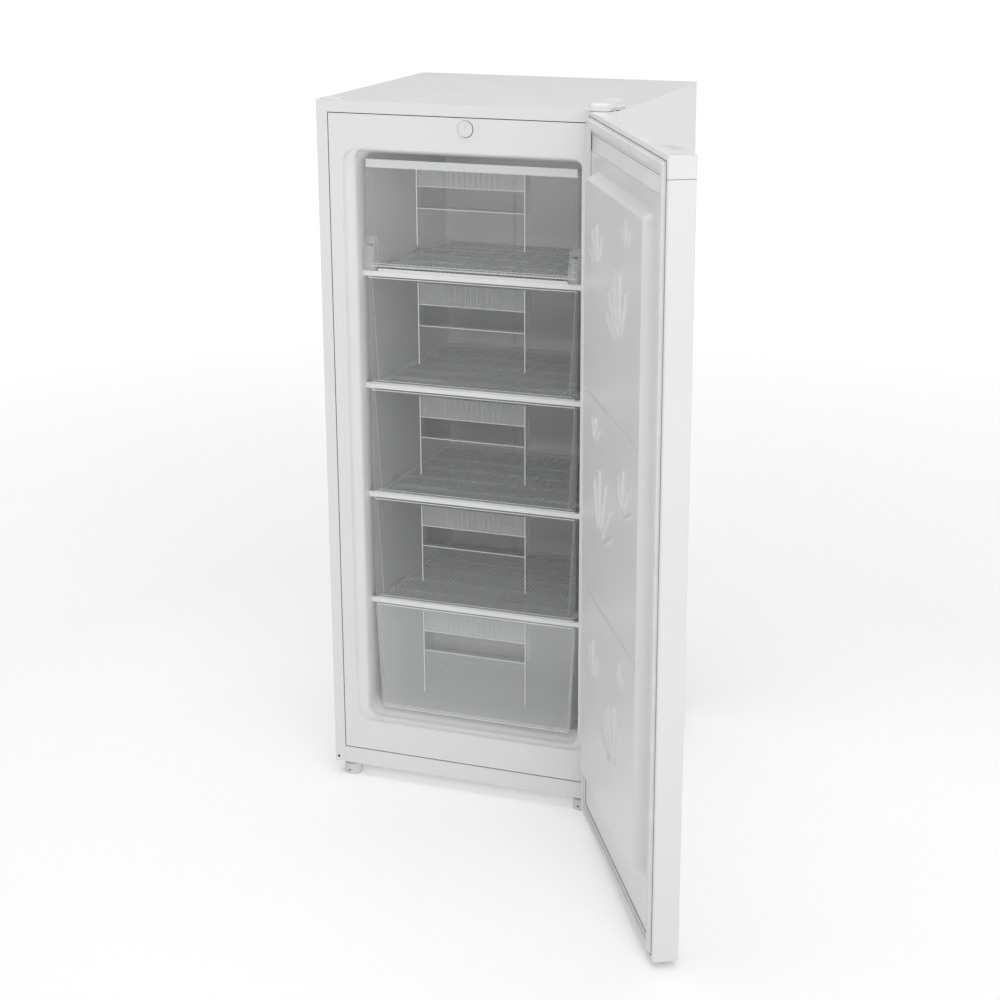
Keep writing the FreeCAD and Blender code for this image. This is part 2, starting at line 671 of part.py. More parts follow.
def mouth_sections(piece, grow):
    """Rounded outlines that follow the quarter-round mouth and then the drafted cavity."""
    sections = []
    for step in (0, 1, 2, 3):
        turn = math.radians(30 * step)
        inward = math.sin(turn)
        side = mm.mouth_width / 2 - (mm.mouth_width - mm.room_width) / 2 * inward
        low = mm.mouth_bottom + mm.lip_rise * inward
        high = mm.mouth_top - (mm.mouth_top - mm.room_ceiling) * inward
        corner = mm.mouth_corner - (mm.mouth_corner - mm.room_corner) * inward
        depth = LINER_FACE + grow + mm.mouth_depth * (1 - math.cos(turn))
        outline = sketch_on(piece, "XZ", depth)
        round_rectangle(outline, -side - grow, low - grow, side + grow, high + grow, corner + grow, 4)
        sections.append(outline)
    draft = mm.room_draft * mm.lip_depth / mm.room_depth
    slope = sketch_on(piece, "XZ", FRONT + mm.lip_depth)
    side = mm.room_width / 2 - draft + grow
    high = mm.room_ceiling - draft + grow
    round_rectangle(slope, -side, mm.room_floor - grow, side, high, mm.room_corner + grow, 4)
    sections.append(slope)
    end = sketch_on(piece, "XZ", FRONT + mm.room_depth + grow)
    side = mm.room_width / 2 - mm.room_draft + grow
    low, high = mm.room_floor - grow, mm.room_ceiling - mm.room_draft + grow
    round_rectangle(end, -side, low, side, high, mm.room_corner + grow, 4)
    sections.append(end)
    return sections


def cut_step(piece, grow):
    """Takes away the corner of the cavity that the compressor niche needs."""
    step = sketch_on(piece, "YZ")
    rectangle(step, FRONT + mm.hump_front + grow, 0, BACK, mm.hump_top - grow)
    pocket(piece, step, mm.cab_width, middle=True)


def build_liner_forms():
    """The liner's outside, which the insulation surrounds, and its inside, which is the cavity."""
    outside = body("liner_outside", keep=False)
    loft(outside, mouth_sections(outside, mm.liner_wall))
    cut_step(outside, mm.liner_wall)
    inside = body("liner_inside", keep=False)
    loft(inside, mouth_sections(inside, 0))
    cut_step(inside, 0)
    for level in range(SHELVES):
        top = shelf_height(level) - TUBE_DROP - mm.tube_width / 2
        ledge = sketch_on(inside, "XZ", FRONT + mm.trim_front + mm.trim_depth + mm.fit)
        for hand in (-1, 1):
            near = hand * (mm.room_width / 2 - mm.room_draft - mm.ledge_reach)
            rectangle(ledge, near, top - mm.ledge_height, hand * HALF, top)
        pocket(inside, ledge, mm.cab_depth)
    return outside, inside


def build_inner_liner(outside, inside):
    """Moulded liner: front face, rounded mouth, cavity with a step and shelf ledges."""
    face = body("liner_face", keep=False)
    plate = sketch_on(face, "XZ", LINER_FACE)
    side = HALF - mm.side_flange - mm.fit
    rectangle(plate, -side, mm.sill_top, side, mm.cab_top - mm.top_flange - mm.fit)
    pad(face, plate, mm.liner_wall)
    whole = join("liner_whole", "MultiFuse", [face, outside], keep=False)
    shell = join("liner_shell", "Cut", [whole, inside], keep=False)
    tools = body("liner_openings", keep=False)
    knob = sketch_on(tools, "XZ", LINER_FACE - 1)
    circle(knob, mm.knob_side, mm.knob_level, mm.knob_shaft / 2 + 3)
    pad(tools, knob, 20)
    drain = sketch_on(tools, "XY", mm.room_floor - 30)
    regular(drain, mm.drain_side, FRONT + mm.drain_setback, mm.drain_width)
    pad(tools, drain, 60)
    join("inner_liner", "Cut", [shell, tools])


def build_cabinet_foam(outside):
    """Insulation that fills the space between the wrapper and the liner."""
    block = body("foam_block", keep=False)
    section = sketch_on(block, "YZ")
    start = LINER_FACE + mm.liner_wall
    end = BACK - 2 * mm.sheet
    polygon(section, [
        (start, mm.sill_top), (NICHE_FRONT - mm.sheet, mm.sill_top),
        (NICHE_FRONT - mm.sheet, mm.niche_top), (end, mm.niche_top),
        (end, mm.cab_top - mm.sheet), (start, mm.cab_top - mm.sheet),
    ])
    pad(block, section, mm.cab_width - 2 * mm.sheet, middle=True)
    control = sketch_on(block, "XZ", start)
    side, level = mm.knob_side, mm.knob_level
    half_x, half_z = mm.control_width / 2 + 1, mm.control_height / 2 + 1
    rectangle(control, side - half_x, level - half_z, side + half_x, level + half_z)
    pocket(block, control, mm.control_depth + 4)
    well = sketch_on(block, "XY", mm.sill_top)
    regular(well, mm.drain_side, FRONT + mm.drain_setback, mm.drain_width)
    pocket(block, well, mm.room_floor - mm.sill_top)
    join("cabinet_foam", "Cut", [block, outside])


# ---- shelves ----


def serpentine(outline, left, right, start, pitch, runs, chords=3):
    """Straight runs that are joined at alternate ends by half circles of a few chords."""
    corners = [(left, start)]
    for k in range(1, runs):
        end, hand = (right, 1) if k % 2 else (left, -1)
        middle = start + (k - 0.5) * pitch
        for step in range(chords + 1):
            turn = math.pi * (step / chords - 0.5)
            corners.append((end + hand * pitch / 2 * math.cos(turn), middle + pitch / 2 * math.sin(turn)))
    corners.append((left if runs % 2 == 0 else right, start + (runs - 1) * pitch))
    polyline(outline, corners)


def sweep(piece, section, path):
    feature = piece.newObject("PartDesign::AdditivePipe", "Tube")
    feature.Profile = section
    feature.Spine = path
    feature.Transition = "Right corner"
    document.recompute()
    return feature


def build_evaporator_shelf(level):
    """Serpentine refrigerant tube with a row of wires across it, which carries the drawer above."""
    label = f"evaporator_shelf_{level + 1}"
    tube = body(f"{label}_tube", keep=False)
    height = shelf_height(level) - TUBE_DROP
    start = FRONT + mm.tube_first
    side = mm.shelf_reach / 2 - mm.tube_width / 2 - mm.tube_pitch / 2
    path = sketch_on(tube, "XY", height)
    serpentine(path, -side, side, start, mm.tube_pitch, TUBE_RUNS)
    section = sketch_on(tube, "YZ", -side)
    regular(section, start, height, mm.tube_width)
    sweep(tube, section, path)
    wires = body(f"{label}_wires", keep=False)
    span = (SHELF_WIRES - 1) * mm.wire_pitch
    first = sketch_on(wires, "XZ", start + 0.5)
    low = shelf_height(level) - mm.wire_width
    rectangle(first, -span / 2 - mm.wire_width / 2, low, mm.wire_width / 2 - span / 2, low + mm.wire_width)
    wire = pad(wires, first, (TUBE_RUNS - 1) * mm.tube_pitch + mm.tube_width / 2)
    row_of(wires, wire, "X", span, SHELF_WIRES)
    join(label, "Compound", [tube, wires])


def build_shelf_trim(level):
    """White channel that clips over the first run of a shelf's tube."""
    piece = body(f"shelf_trim_{level + 1}")
    section = sketch_on(piece, "YZ")
    top = shelf_height(level)
    face = FRONT + mm.trim_front
    wall, deep = mm.trim_wall, mm.trim_depth
    tube_top = top - mm.wire_width
    tube_bottom = tube_top - mm.tube_width
    lip = FRONT + mm.tube_first - 0.2
    low = top - mm.trim_height
    polygon(section, [
        (face + 1, low), (face + deep, low), (face + deep, tube_bottom), (face + wall, tube_bottom),
        (face + wall, tube_top), (lip, tube_top), (lip, top - 0.3), (face + 1.5, top), (face, top - 1.5),
        (face, low + 1),
    ])
    pad(piece, section, mm.room_width - 5 * mm.fit, middle=True)
    if level == 0:
        ridge = sketch_on(piece, "YZ")
        polygon(ridge, [
            (face + 1.5, top - 0.3), (face + 4, top - 0.3), (face + 3.6, top + mm.ridge_height),
            (face + 2, top + mm.ridge_height),
        ])
        pad(piece, ridge, mm.front_width - 2 * mm.bracket_width, middle=True)


def build_riser():
    """Tube that links the shelves up the rear wall and leaves to the side."""
    rear = FRONT + mm.room_depth - mm.pipe_width / 2
    wall = mm.room_width / 2 - mm.room_draft
    side, top = mm.riser_side, mm.riser_top
    bent_tube("evaporator_riser", [
        (side, rear, mm.hump_top), (side, rear, top), (wall, rear, top),
    ], mm.pipe_width, plain(mm.riser_bend))


# ---- drawers and flap ----


def grip(piece, foot, top, face, rail):
    """Fluted band over a finger pocket that opens to the front, and a rib under each of its sides."""
    half = mm.grip_width / 2
    wall = mm.grip_wall
    back = face + mm.front_wall
    low = top - mm.grip_band - mm.grip_window
    window_top = top - mm.grip_band
    shell = sketch_on(piece, "XZ", back)
    rectangle(shell, -half - wall, low - wall, half + wall, top - rail)
    pad(piece, shell, mm.grip_depth)
    hollow = sketch_on(piece, "XZ", back)
    rectangle(hollow, -half, low, half, top - rail - wall)
    pocket(piece, hollow, mm.grip_depth - wall)
    window = sketch_on(piece, "XZ", face)
    rectangle(window, -half, low, half, window_top)
    pocket(piece, window, mm.front_wall)
    ribs = sketch_on(piece, "XZ", face)
    for hand in (-1, 1):
        near, far = hand * half, hand * (half + mm.side_rib)
        rectangle(ribs, near, foot + mm.rib_foot, far, top - rail)
    pad(piece, ribs, mm.flute_height, up=False)
    span = (FLUTES - 1) * mm.flute_pitch
    flute = sketch_on(piece, "XY", window_top + 1)
    x = -span / 2
    polygon(flute, [
        (x - mm.flute_width / 2, face + 0.3), (x, face - mm.flute_height), (x + mm.flute_width / 2, face + 0.3),
    ])
    rib = pad(piece, flute, mm.grip_band - rail - 2)
    row_of(piece, rib, "X", span, FLUTES)


def build_drawer_front(number, low, top, narrow):
    """Clear front with a raised rim, a fluted band over a finger pocket and two upright ribs."""
    piece = body(f"drawer_front_{number}")
    face = FRONT + mm.front_setback
    half = mm.front_width / 2
    foot = half - narrow
    cut = mm.front_corner
    outer = [
        (cut - foot, low), (foot - cut, low), (foot, low + cut), (half, top - cut), (half - cut, top),
        (cut - half, top), (-half, top - cut), (-foot, low + cut),
    ]
    plate = sketch_on(piece, "XZ", face)
    polygon(plate, outer)
    pad(piece, plate, mm.front_wall)
    rim = sketch_on(piece, "XZ", face)
    wide = mm.rim_width
    polygon(rim, outer)
    polygon(rim, [
        (wide - foot, low + wide), (foot - wide, low + wide), (half - wide, top - mm.rail_height),
        (wide - half, top - mm.rail_height),
    ])
    pad(piece, rim, mm.rim_height, up=False)
    grip(piece, low, top, face, mm.rail_height)


def build_drawer_box(number, low, top, depth):
    """Tapered tray, open at the top, whose front is closed by the drawer front."""
    piece = body(f"drawer_box_{number}")
    front = FRONT + mm.front_setback + mm.front_wall
    back = front + depth
    ahead = 30
    half = mm.front_width / 2 - mm.drawer_lip

    def section(level, inward, wall):
        outline = sketch_on(piece, "XY", level)
        side = half - inward - wall
        corner = mm.drawer_corner - wall
        round_rectangle(outline, -side, front - ahead, side, back - inward - wall, corner)
        return outline

    loft(piece, [section(low, mm.drawer_draft, 0), section(top, 0, 0)])
    lip = sketch_on(piece, "XY", top)
    side = half + mm.drawer_lip
    round_rectangle(lip, -side, front - ahead, side, back + mm.drawer_lip, mm.drawer_corner)
    pad(piece, lip, mm.drawer_wall, up=False)
    wall = mm.drawer_wall
    loft(piece, [section(low + wall, mm.drawer_draft, wall), section(top + 0.01, 0, wall)], cut=True)
    ahead_cut = sketch_on(piece, "XZ", front)
    rectangle(ahead_cut, -HALF, low - 10, HALF, top + 10)
    pocket(piece, ahead_cut, ahead + 10, up=False)
    return piece


def build_runners(piece, low, depth):
    """Two runners under the floor of the lowest drawer, which lift it off the liner."""
    runners = sketch_on(piece, "XZ", FRONT + mm.front_setback + mm.front_wall)
    near, far = mm.runner_side - mm.runner_width, mm.runner_side
    rectangle(runners, near, low, far, low + mm.runner_height)
    rectangle(runners, -far, low, -near, low + mm.runner_height)
    pad(piece, runners, depth - mm.runner_end)


def build_drawers():
    for number in range(1, SHELVES + 1):
        top = shelf_height(number - 1) - mm.trim_height - mm.drawer_gap
        if number < SHELVES:
            low = shelf_height(number) + mm.fit + mm.rest_gap
            depth, narrow = mm.drawer_depth, 0
        else:
            low = mm.room_floor + mm.fit
            depth, narrow = mm.low_drawer_depth, mm.low_front_taper
        build_drawer_front(number, low, top, narrow)
        lift = 0 if number < SHELVES else mm.runner_height
        box = build_drawer_box(number, low + lift, top - mm.rail_height / 2, depth)
        if lift:
            build_runners(box, low, depth)


FLAP_FACE = FRONT + mm.front_setback
FLAP_AXIS_Y = FLAP_FACE - mm.flap_lead


def build_flap():
    """Drop-down front of the top shelf with notched lower corners and a pin at each side."""
    piece = body("flap")
    half = mm.front_width / 2
    inner = half - mm.bracket_width + mm.bracket_overlap
    notch = mm.flap_bottom + mm.flap_notch
    plate = sketch_on(piece, "XZ", FLAP_FACE)
    polygon(plate, [
        (-inner, mm.flap_bottom), (inner, mm.flap_bottom), (inner, notch), (half, notch),
        (half, mm.flap_top), (-half, mm.flap_top), (-half, notch), (-inner, notch),
    ])
    pad(piece, plate, mm.front_wall)
    rail = sketch_on(piece, "XZ", FLAP_FACE)
    rectangle(rail, -half, mm.flap_top - mm.flap_rail, half, mm.flap_top)
    for hand in (-1, 1):
        edge = hand * (half - mm.rim_width)
        rectangle(rail, edge, notch, hand * half, mm.flap_top - mm.flap_rail)
    pad(piece, rail, mm.rim_height, up=False)
    grip(piece, mm.flap_bottom, mm.flap_top, FLAP_FACE, mm.flap_rail)
    hub = sketch_on(piece, "YZ", -inner)
    regular(hub, FLAP_AXIS_Y, mm.flap_axis, mm.flap_pin + 2 * mm.hub_wall)
    pad(piece, hub, 2 * inner)
    pins = sketch_on(piece, "YZ", -inner - mm.pin_reach)
    circle(pins, FLAP_AXIS_Y, mm.flap_axis, mm.flap_pin / 2)
    pad(piece, pins, 2 * inner + 2 * mm.pin_reach)


def build_flap_bracket(hand, label):
    """Clear bracket on the end of the uppermost trim with the bore for the flap's pin."""
    piece = body(label)
    inner = mm.front_width / 2 - mm.bracket_width + mm.bracket_overlap + mm.fit
    outer = inner + mm.bracket_width
    base = mm.shelf_top + mm.rest_gap
    front = FLAP_AXIS_Y - mm.bracket_lead
    back = front + mm.bracket_depth
    top = base + mm.bracket_height
    profile = sketch_on(piece, "YZ", hand * inner if hand > 0 else hand * outer)
    polygon(profile, [
        (front, base), (back, base), (back, top - 14), (back - 6, top), (front + 9, top),
        (front, base + mm.bracket_shoulder),
    ])
    pad(piece, profile, mm.bracket_width)
    hollow = sketch_on(piece, "XZ", back)
    near, far = inner + mm.bracket_wall, outer - mm.bracket_wall
    rectangle(hollow, hand * near, base + mm.bracket_wall, hand * far, top - 12)
    pocket(piece, hollow, mm.bracket_depth - 5, up=False)
    bore_depth = mm.pin_reach + 1
    bore = sketch_on(piece, "YZ", inner if hand > 0 else -inner - bore_depth)
    circle(bore, FLAP_AXIS_Y, mm.flap_axis, mm.flap_pin / 2 + mm.pin_clearance)
    pocket(piece, bore, bore_depth)


# ---- thermostat ----


def build_thermostat():
    x, z = mm.knob_side, mm.knob_level
    housing = body("thermostat_body")
    face = LINER_FACE + mm.liner_wall
    box = sketch_on(housing, "XZ", face)
    half_x, half_z = mm.control_width / 2, mm.control_height / 2
    rectangle(box, x - half_x, z - half_z, x + half_x, z + half_z)
    pad(housing, box, mm.control_depth)
    sleeve = sketch_on(housing, "XZ", face)
    regular(sleeve, x, z, mm.knob_shaft + 5)
    pad(housing, sleeve, mm.liner_wall - mm.fit, up=False)
    bore = sketch_on(housing, "XZ", LINER_FACE)
    circle(bore, x, z, mm.knob_shaft / 2 + mm.pin_clearance)
    pocket(housing, bore, mm.shaft_length + 3)
    finish_edges(housing, "Chamfer", 2, lambda edge: straight_along(edge, Vector(0, 1, 0))
                 and edge.Length > 30)
    bezel = body("thermostat_bezel")
    frame = sketch_on(bezel, "XZ", LINER_FACE)
    half_x, half_z = mm.bezel_width / 2, mm.bezel_height / 2
    round_rectangle(frame, x - half_x, z - half_z, x + half_x, z + half_z, mm.bezel_corner, 2)
    circle(frame, x, z, mm.knob_width / 2 + 1)
    pad(bezel, frame, mm.bezel_proud, up=False)
    knob = body("thermostat_knob")
    disc = sketch_on(knob, "XZ", FRONT - mm.knob_proud)
    circle(disc, x, z, mm.knob_width / 2)
    pad(knob, disc, mm.knob_proud - 0.1)
    finish_edges(knob, "Chamfer", 0.7, lambda edge: edge.CenterOfMass.y < plain(FRONT - 1))
    shaft = sketch_on(knob, "XZ", FRONT - 1)
    circle(shaft, x, z, mm.knob_shaft / 2)
    pad(knob, shaft, mm.shaft_length + 1)
    slot = sketch_on(knob, "XZ", FRONT - mm.knob_proud)
    half_x, half_z = mm.slot_width / 2, mm.slot_length / 2
    rectangle(slot, x - half_x, z - half_z, x + half_x, z + half_z)
    pocket(knob, slot, mm.slot_depth)
    mark = sketch_on(knob, "XZ", FRONT - mm.knob_proud)
    rectangle(mark, x - 0.6, z + half_z + 1, x + 0.6, z + half_z + 3)
    pocket(knob, mark, mm.mark_depth)


# ---- hinges ----


def build_upper_hinge():
    """Joggled plate on the cabinet's top with a pin down into the door, under a rounded cover."""
    piece = body("upper_hinge_bracket")
    plate = mm.hinge_plate
    over = mm.door_top + 1
    section = sketch_on(piece, "YZ", HINGE_X - mm.hinge_width / 2)
    rear = FRONT + mm.hinge_length
    nose = HINGE_Y - mm.hinge_nose
    polygon(section, [
        (rear, mm.cab_top), (FRONT + 4, mm.cab_top), (FRONT - 1, over), (nose, over),
        (nose, over + plate), (FRONT + 1, over + plate), (FRONT + 6, mm.cab_top + plate),
        (rear, mm.cab_top + plate),
    ])
    pad(piece, section, mm.hinge_width)
    finish_edges(piece, "Chamfer", mm.hinge_chamfer, lambda edge: straight_along(edge, Vector(0, 0, 1))
                 and (edge.CenterOfMass.y < plain(HINGE_Y) or edge.CenterOfMass.y > plain(rear) - 1))
    pin = sketch_on(piece, "XY", over)
    circle(pin, HINGE_X, HINGE_Y, mm.hinge_pin / 2)
    pad(piece, pin, mm.bush_length + 1, up=False)

    cover = body("upper_hinge_cover")
    shape = sketch_on(cover, "XY", mm.cab_top)
    half = mm.hinge_width / 2
    reach = half + 2
    first = HINGE_X - reach
    last = HALF - 1.5
    round_rectangle(shape, first, nose - 2.5, last, rear + 6, mm.cover_corner)
    pad(cover, shape, mm.cover_height + mm.cover_wall)
    finish_edges(cover, "Chamfer", 2.5, lambda edge: edge.CenterOfMass.z > plain(mm.cab_top) + 10
                 and edge.BoundBox.ZLength < 1e-3)
    hollow = sketch_on(cover, "XY", mm.cab_top)
    round_rectangle(hollow, HINGE_X - half - mm.fit, nose - mm.fit, HINGE_X + half + mm.fit, rear + mm.fit,
                    mm.hinge_chamfer, 1)
    pocket(cover, hollow, mm.cover_height)
    above_door = sketch_on(cover, "XZ", FRONT)
    rectangle(above_door, first - 10, mm.cab_top - 1, last + 10, over)
    pocket(cover, above_door, 60, up=False)


def build_lower_hinge():
    """Bracket under the cabinet that steps down below the door and carries the lower pin."""
    piece = body("lower_hinge_bracket")
    plate = mm.hinge_plate
    under_cab = mm.base_gap - plate
    under_door = mm.door_bottom - 1 - plate
    trimmed = 3
    section = sketch_on(piece, "YZ", HINGE_X - mm.hinge_width / 2 + trimmed)
    face = FRONT + 1
    rear = FRONT + mm.sill_depth - 2
    nose = HINGE_Y - mm.hinge_nose + 1
    polygon(section, [
        (rear, mm.base_gap), (face, mm.base_gap), (face, under_door + plate), (nose, under_door + plate),
        (nose, under_door), (face + plate, under_door), (face + plate, under_cab), (rear, under_cab),
    ])
    pad(piece, section, mm.hinge_width - trimmed)
    finish_edges(piece, "Chamfer", mm.hinge_chamfer - 1, lambda edge: straight_along(edge, Vector(0, 0, 1))
                 and edge.CenterOfMass.y < plain(HINGE_Y))
    pin = sketch_on(piece, "XY", under_door + plate)
    circle(pin, HINGE_X, HINGE_Y, mm.hinge_pin / 2)
    pad(piece, pin, mm.bush_length)


def build_screws():
    """Hexagon-head screws that hold the two hinge brackets."""
    piece = body("hinge_screws")
    upper = sketch_on(piece, "XY", mm.cab_top + mm.hinge_plate)
    for along in (16, 32):
        for side in (-10, 10):
            regular(upper, HINGE_X + side, FRONT + along, mm.screw_width, 6)
    pad(piece, upper, mm.screw_height)
    lower = sketch_on(piece, "XY", mm.base_gap - mm.hinge_plate)
    for side in (-9, 9):
        regular(lower, HINGE_X + side, FRONT + 30, mm.screw_width, 6)
    pad(piece, lower, mm.screw_height, up=False)


def build_hole_cap():
    """Low cap on the cabinet's top over the unused hinge holes."""
    piece = body("hinge_hole_cap")
    shape = sketch_on(piece, "XY", mm.cab_top)
    left, near = mm.hole_cap_side - HALF, FRONT + mm.hole_cap_setback
    round_rectangle(shape, left, near, left + mm.hole_cap_width, near + mm.hole_cap_depth, 6)
    pad(piece, shape, mm.hole_cap_height)
    finish_edges(piece, "Chamfer", 1, lambda edge: edge.BoundBox.ZLength < 1e-3
                 and edge.CenterOfMass.z > plain(mm.cab_top) + 2)


# ---- door, drawn closed about its hinge axis ----

INNER = mm.door_thick - mm.door_face
OUTER = -mm.door_face
HINGE_EDGE = mm.hinge_inset
FREE_EDGE = mm.hinge_inset - mm.door_width
DOOR_MIDDLE = mm.hinge_inset - mm.door_width / 2
CAP_JOINT = mm.door_top - mm.cap_height


def swing(piece):
    """Turns a piece of the closed door about the hinge axis to where the door stands."""
    piece.Placement = FreeCAD.Placement(Vector(0, 0, 0), FreeCAD.Rotation(Vector(0, 0, 1), 1))
    bind(piece, "Placement.Base.x", HINGE_X)
    bind(piece, "Placement.Base.y", HINGE_Y)
    bind(piece, "Placement.Rotation.Angle", mm.door_angle)
    document.recompute()


def build_door_skin():
    """Folded steel front of the door with both sides and narrow flanges on the inner face."""
    piece = body("door_skin")
    low = mm.door_bottom + mm.sheet
    block = sketch_on(piece, "XY", low)
    round_rectangle(block, FREE_EDGE, OUTER, HINGE_EDGE, INNER, mm.door_round)
    pad(piece, block, CAP_JOINT - low)
    hollow = sketch_on(piece, "XY", low)
    wall = mm.sheet
    round_rectangle(hollow, FREE_EDGE + wall, OUTER + wall, HINGE_EDGE - wall, INNER - wall,
                    mm.door_round - wall)
    pocket(piece, hollow, CAP_JOINT - low)
    window = sketch_on(piece, "XZ", INNER)
    rectangle(window, FREE_EDGE + mm.door_return, low, HINGE_EDGE - mm.door_return, CAP_JOINT)
    pocket(piece, window, wall, up=False)
    swing(piece)


def build_door_top_cap():
    """Moulded cap with full-width end pads and a long finger scoop behind the outer face."""
    piece = body("door_top_cap")
    root = CAP_JOINT - mm.cap_root
    wall = mm.sheet
    inside = sketch_on(piece, "XY", root)
    round_rectangle(inside, FREE_EDGE + wall, OUTER + wall, HINGE_EDGE - wall, INNER - wall,
                    mm.door_round - wall)
    pad(piece, inside, mm.cap_root)
    head = sketch_on(piece, "XY", CAP_JOINT)
    round_rectangle(head, FREE_EDGE, OUTER, HINGE_EDGE, INNER, mm.door_round)
    pad(piece, head, mm.cap_height)
    hinge_end = HINGE_EDGE - mm.hinge_pad
    free_end = FREE_EDGE + mm.free_pad
    ease = mm.scoop_ease
    deep = OUTER + mm.scoop_depth
    scoop = sketch_on(piece, "XY", mm.door_top)
    polygon(scoop, [
        (hinge_end, OUTER - 1), (hinge_end - 8, deep - 2), (hinge_end - 14, deep), (free_end + ease, deep),
        (free_end + ease * 0.8, deep - 1.5), (free_end + ease * 0.6, deep - mm.scoop_depth * 0.26),
        (free_end + ease * 0.4, OUTER + mm.scoop_depth * 0.36), (free_end + ease * 0.2, OUTER + 3),
        (free_end, OUTER), (free_end - 4, OUTER - 1),
    ])
    pocket(piece, scoop, mm.cap_height, up=False)
    well = sketch_on(piece, "XY", CAP_JOINT)
    near = OUTER + mm.scoop_lip
    polygon(well, [
        (hinge_end - 6, near), (hinge_end - 9, deep - 3), (hinge_end - 15, deep), (free_end + ease, deep),
        (free_end + ease * 0.8, deep - 1.5), (free_end + ease * 0.5, near),
    ])
    pocket(piece, well, mm.scoop_drop, up=False)
    bore = sketch_on(piece, "XY", mm.door_top)
    regular(bore, 0, 0, mm.bush_width)
    pocket(piece, bore, mm.bush_length + 4, up=False)
    spare = sketch_on(piece, "XY", mm.door_top)
    regular(spare, 2 * DOOR_MIDDLE, 0, mm.plug_width)
    pocket(piece, spare, mm.plug_depth + 1, up=False)
    swing(piece)


def build_door_bottom_cap():
    """Moulded end piece inside the skin's lower edge, with ribs across its underside."""
    piece = body("door_bottom_cap")
    wall = mm.sheet
    low = mm.door_bottom
    lip = sketch_on(piece, "XY", low)
    round_rectangle(lip, FREE_EDGE + 0.5, OUTER + 0.5, HINGE_EDGE - 0.5, INNER - 0.5, mm.door_round)
    pad(piece, lip, wall)
    core = sketch_on(piece, "XY", low)
    round_rectangle(core, FREE_EDGE + wall, OUTER + wall, HINGE_EDGE - wall, INNER - wall,
                    mm.door_round - wall)
    pad(piece, core, mm.foot_cap)
    cells = 8
    pitch = (mm.door_width - 60) / cells
    cell = sketch_on(piece, "XY", low)
    start = FREE_EDGE + 8
    rectangle(cell, start, OUTER + 5, start + pitch - mm.cell_wall, INNER - 5)
    hole = pocket(piece, cell, mm.foot_cap - mm.cell_wall)
    row_of(piece, hole, "X", pitch * (cells - 1), cells)
    bore = sketch_on(piece, "XY", low)
    regular(bore, 0, 0, mm.bush_width)
    pocket(piece, bore, mm.bush_length)
    swing(piece)


def dyke_sections(piece, grow):
    """Foot and crest outlines of the raised panel, drawn in by the wall for its hollow side."""
    foot = sketch_on(piece, "XZ", INNER)
    side = mm.dyke_foot_width / 2 - grow
    left, right = DOOR_MIDDLE - side, DOOR_MIDDLE + side
    corner = mm.dyke_corner - grow
    round_rectangle(foot, left, mm.dyke_foot_low + grow, right, mm.dyke_foot_high - grow, corner)
    crest = sketch_on(piece, "XZ", INNER + mm.dyke_height - grow)
    side = mm.dyke_top_width / 2 - grow
    left, right = DOOR_MIDDLE - side, DOOR_MIDDLE + side
    low, high = mm.dyke_foot_low + mm.dyke_slope + grow, mm.dyke_foot_high - mm.dyke_slope - grow
    round_rectangle(crest, left, low, right, high, corner)
    return [foot, crest]


def build_door_liner():
    """Moulded inner liner with a raised panel, two grooves across it and fans of embossed blades."""
    piece = body("door_liner")
    wall = mm.door_liner_wall
    back = INNER - wall
    edge = mm.door_return + mm.fit
    plate = sketch_on(piece, "XZ", back)
    low, high = mm.door_bottom + mm.foot_cap, CAP_JOINT - mm.cap_root
    rectangle(plate, FREE_EDGE + edge, low, HINGE_EDGE - edge, high)
    pad(piece, plate, wall)
    loft(piece, dyke_sections(piece, 0))
    crest = INNER + mm.dyke_height
    finish_edges(piece, "Chamfer", mm.crest_chamfer, lambda edge: edge.BoundBox.YLength < 1e-3
                 and abs(edge.CenterOfMass.y - plain(crest)) < 1e-3)
    inner = sketch_on(piece, "XZ", back)
    side = mm.dyke_foot_width / 2 - wall
    round_rectangle(inner, DOOR_MIDDLE - side, mm.dyke_foot_low + wall, DOOR_MIDDLE + side,
                    mm.dyke_foot_high - wall, mm.dyke_corner - wall)
    loft(piece, [inner] + dyke_sections(piece, wall)[1:], cut=True)
    half = mm.dyke_top_width / 2 - mm.groove_margin
    for level in (mm.groove_low, mm.groove_high):
        groove = sketch_on(piece, "XZ", crest)
        rectangle(groove, DOOR_MIDDLE - half, level - mm.groove_width / 2, DOOR_MIDDLE + half,
                  level + mm.groove_width / 2)
        pocket(piece, groove, mm.groove_sink, up=False)
    blades = sketch_on(piece, "XZ", crest)
    low, high = mm.dyke_foot_low, mm.dyke_foot_high
    bands = [(low, mm.groove_low), (mm.groove_low, mm.groove_high), (mm.groove_high, high)]
    for k, (bottom, top) in enumerate(bands):
        hand = 1 if k % 2 == 0 else -1
        root_x = DOOR_MIDDLE - hand * mm.fan_side
        root_z = (bottom + top) / 2 - mm.blade_length * 0.55
        for step in range(5):
            lean = math.radians(plain(mm.fan_lean) * (step - 1.1)) * hand
            length = mm.blade_length * (1 - 0.11 * abs(step - 1.5))
            blade(blades, root_x, root_z, mm.blade_root, length, lean)
    pad(piece, blades, mm.blade_height)
    swing(piece)


def blade(outline, root_x, root_z, near, length, lean):
    """One slender embossed blade: two equal arcs that meet at its ends."""
    ends = []
    for reach in (near, near + length):
        ends.append((root_x + reach * math.sin(lean), root_z + reach * math.cos(lean)))
    middle = (root_x + (near + length / 2) * math.sin(lean), root_z + (near + length / 2) * math.cos(lean))
    for hand in (-1, 1):
        offset = hand * mm.blade_width / 2
        crown = (middle[0] + offset * math.cos(lean), middle[1] - offset * math.sin(lean))
        start, end = (ends[0], ends[1]) if hand > 0 else (ends[1], ends[0])
        outline.addGeometry(Part.Arc(point(*start), point(*crown), point(*end)), False)


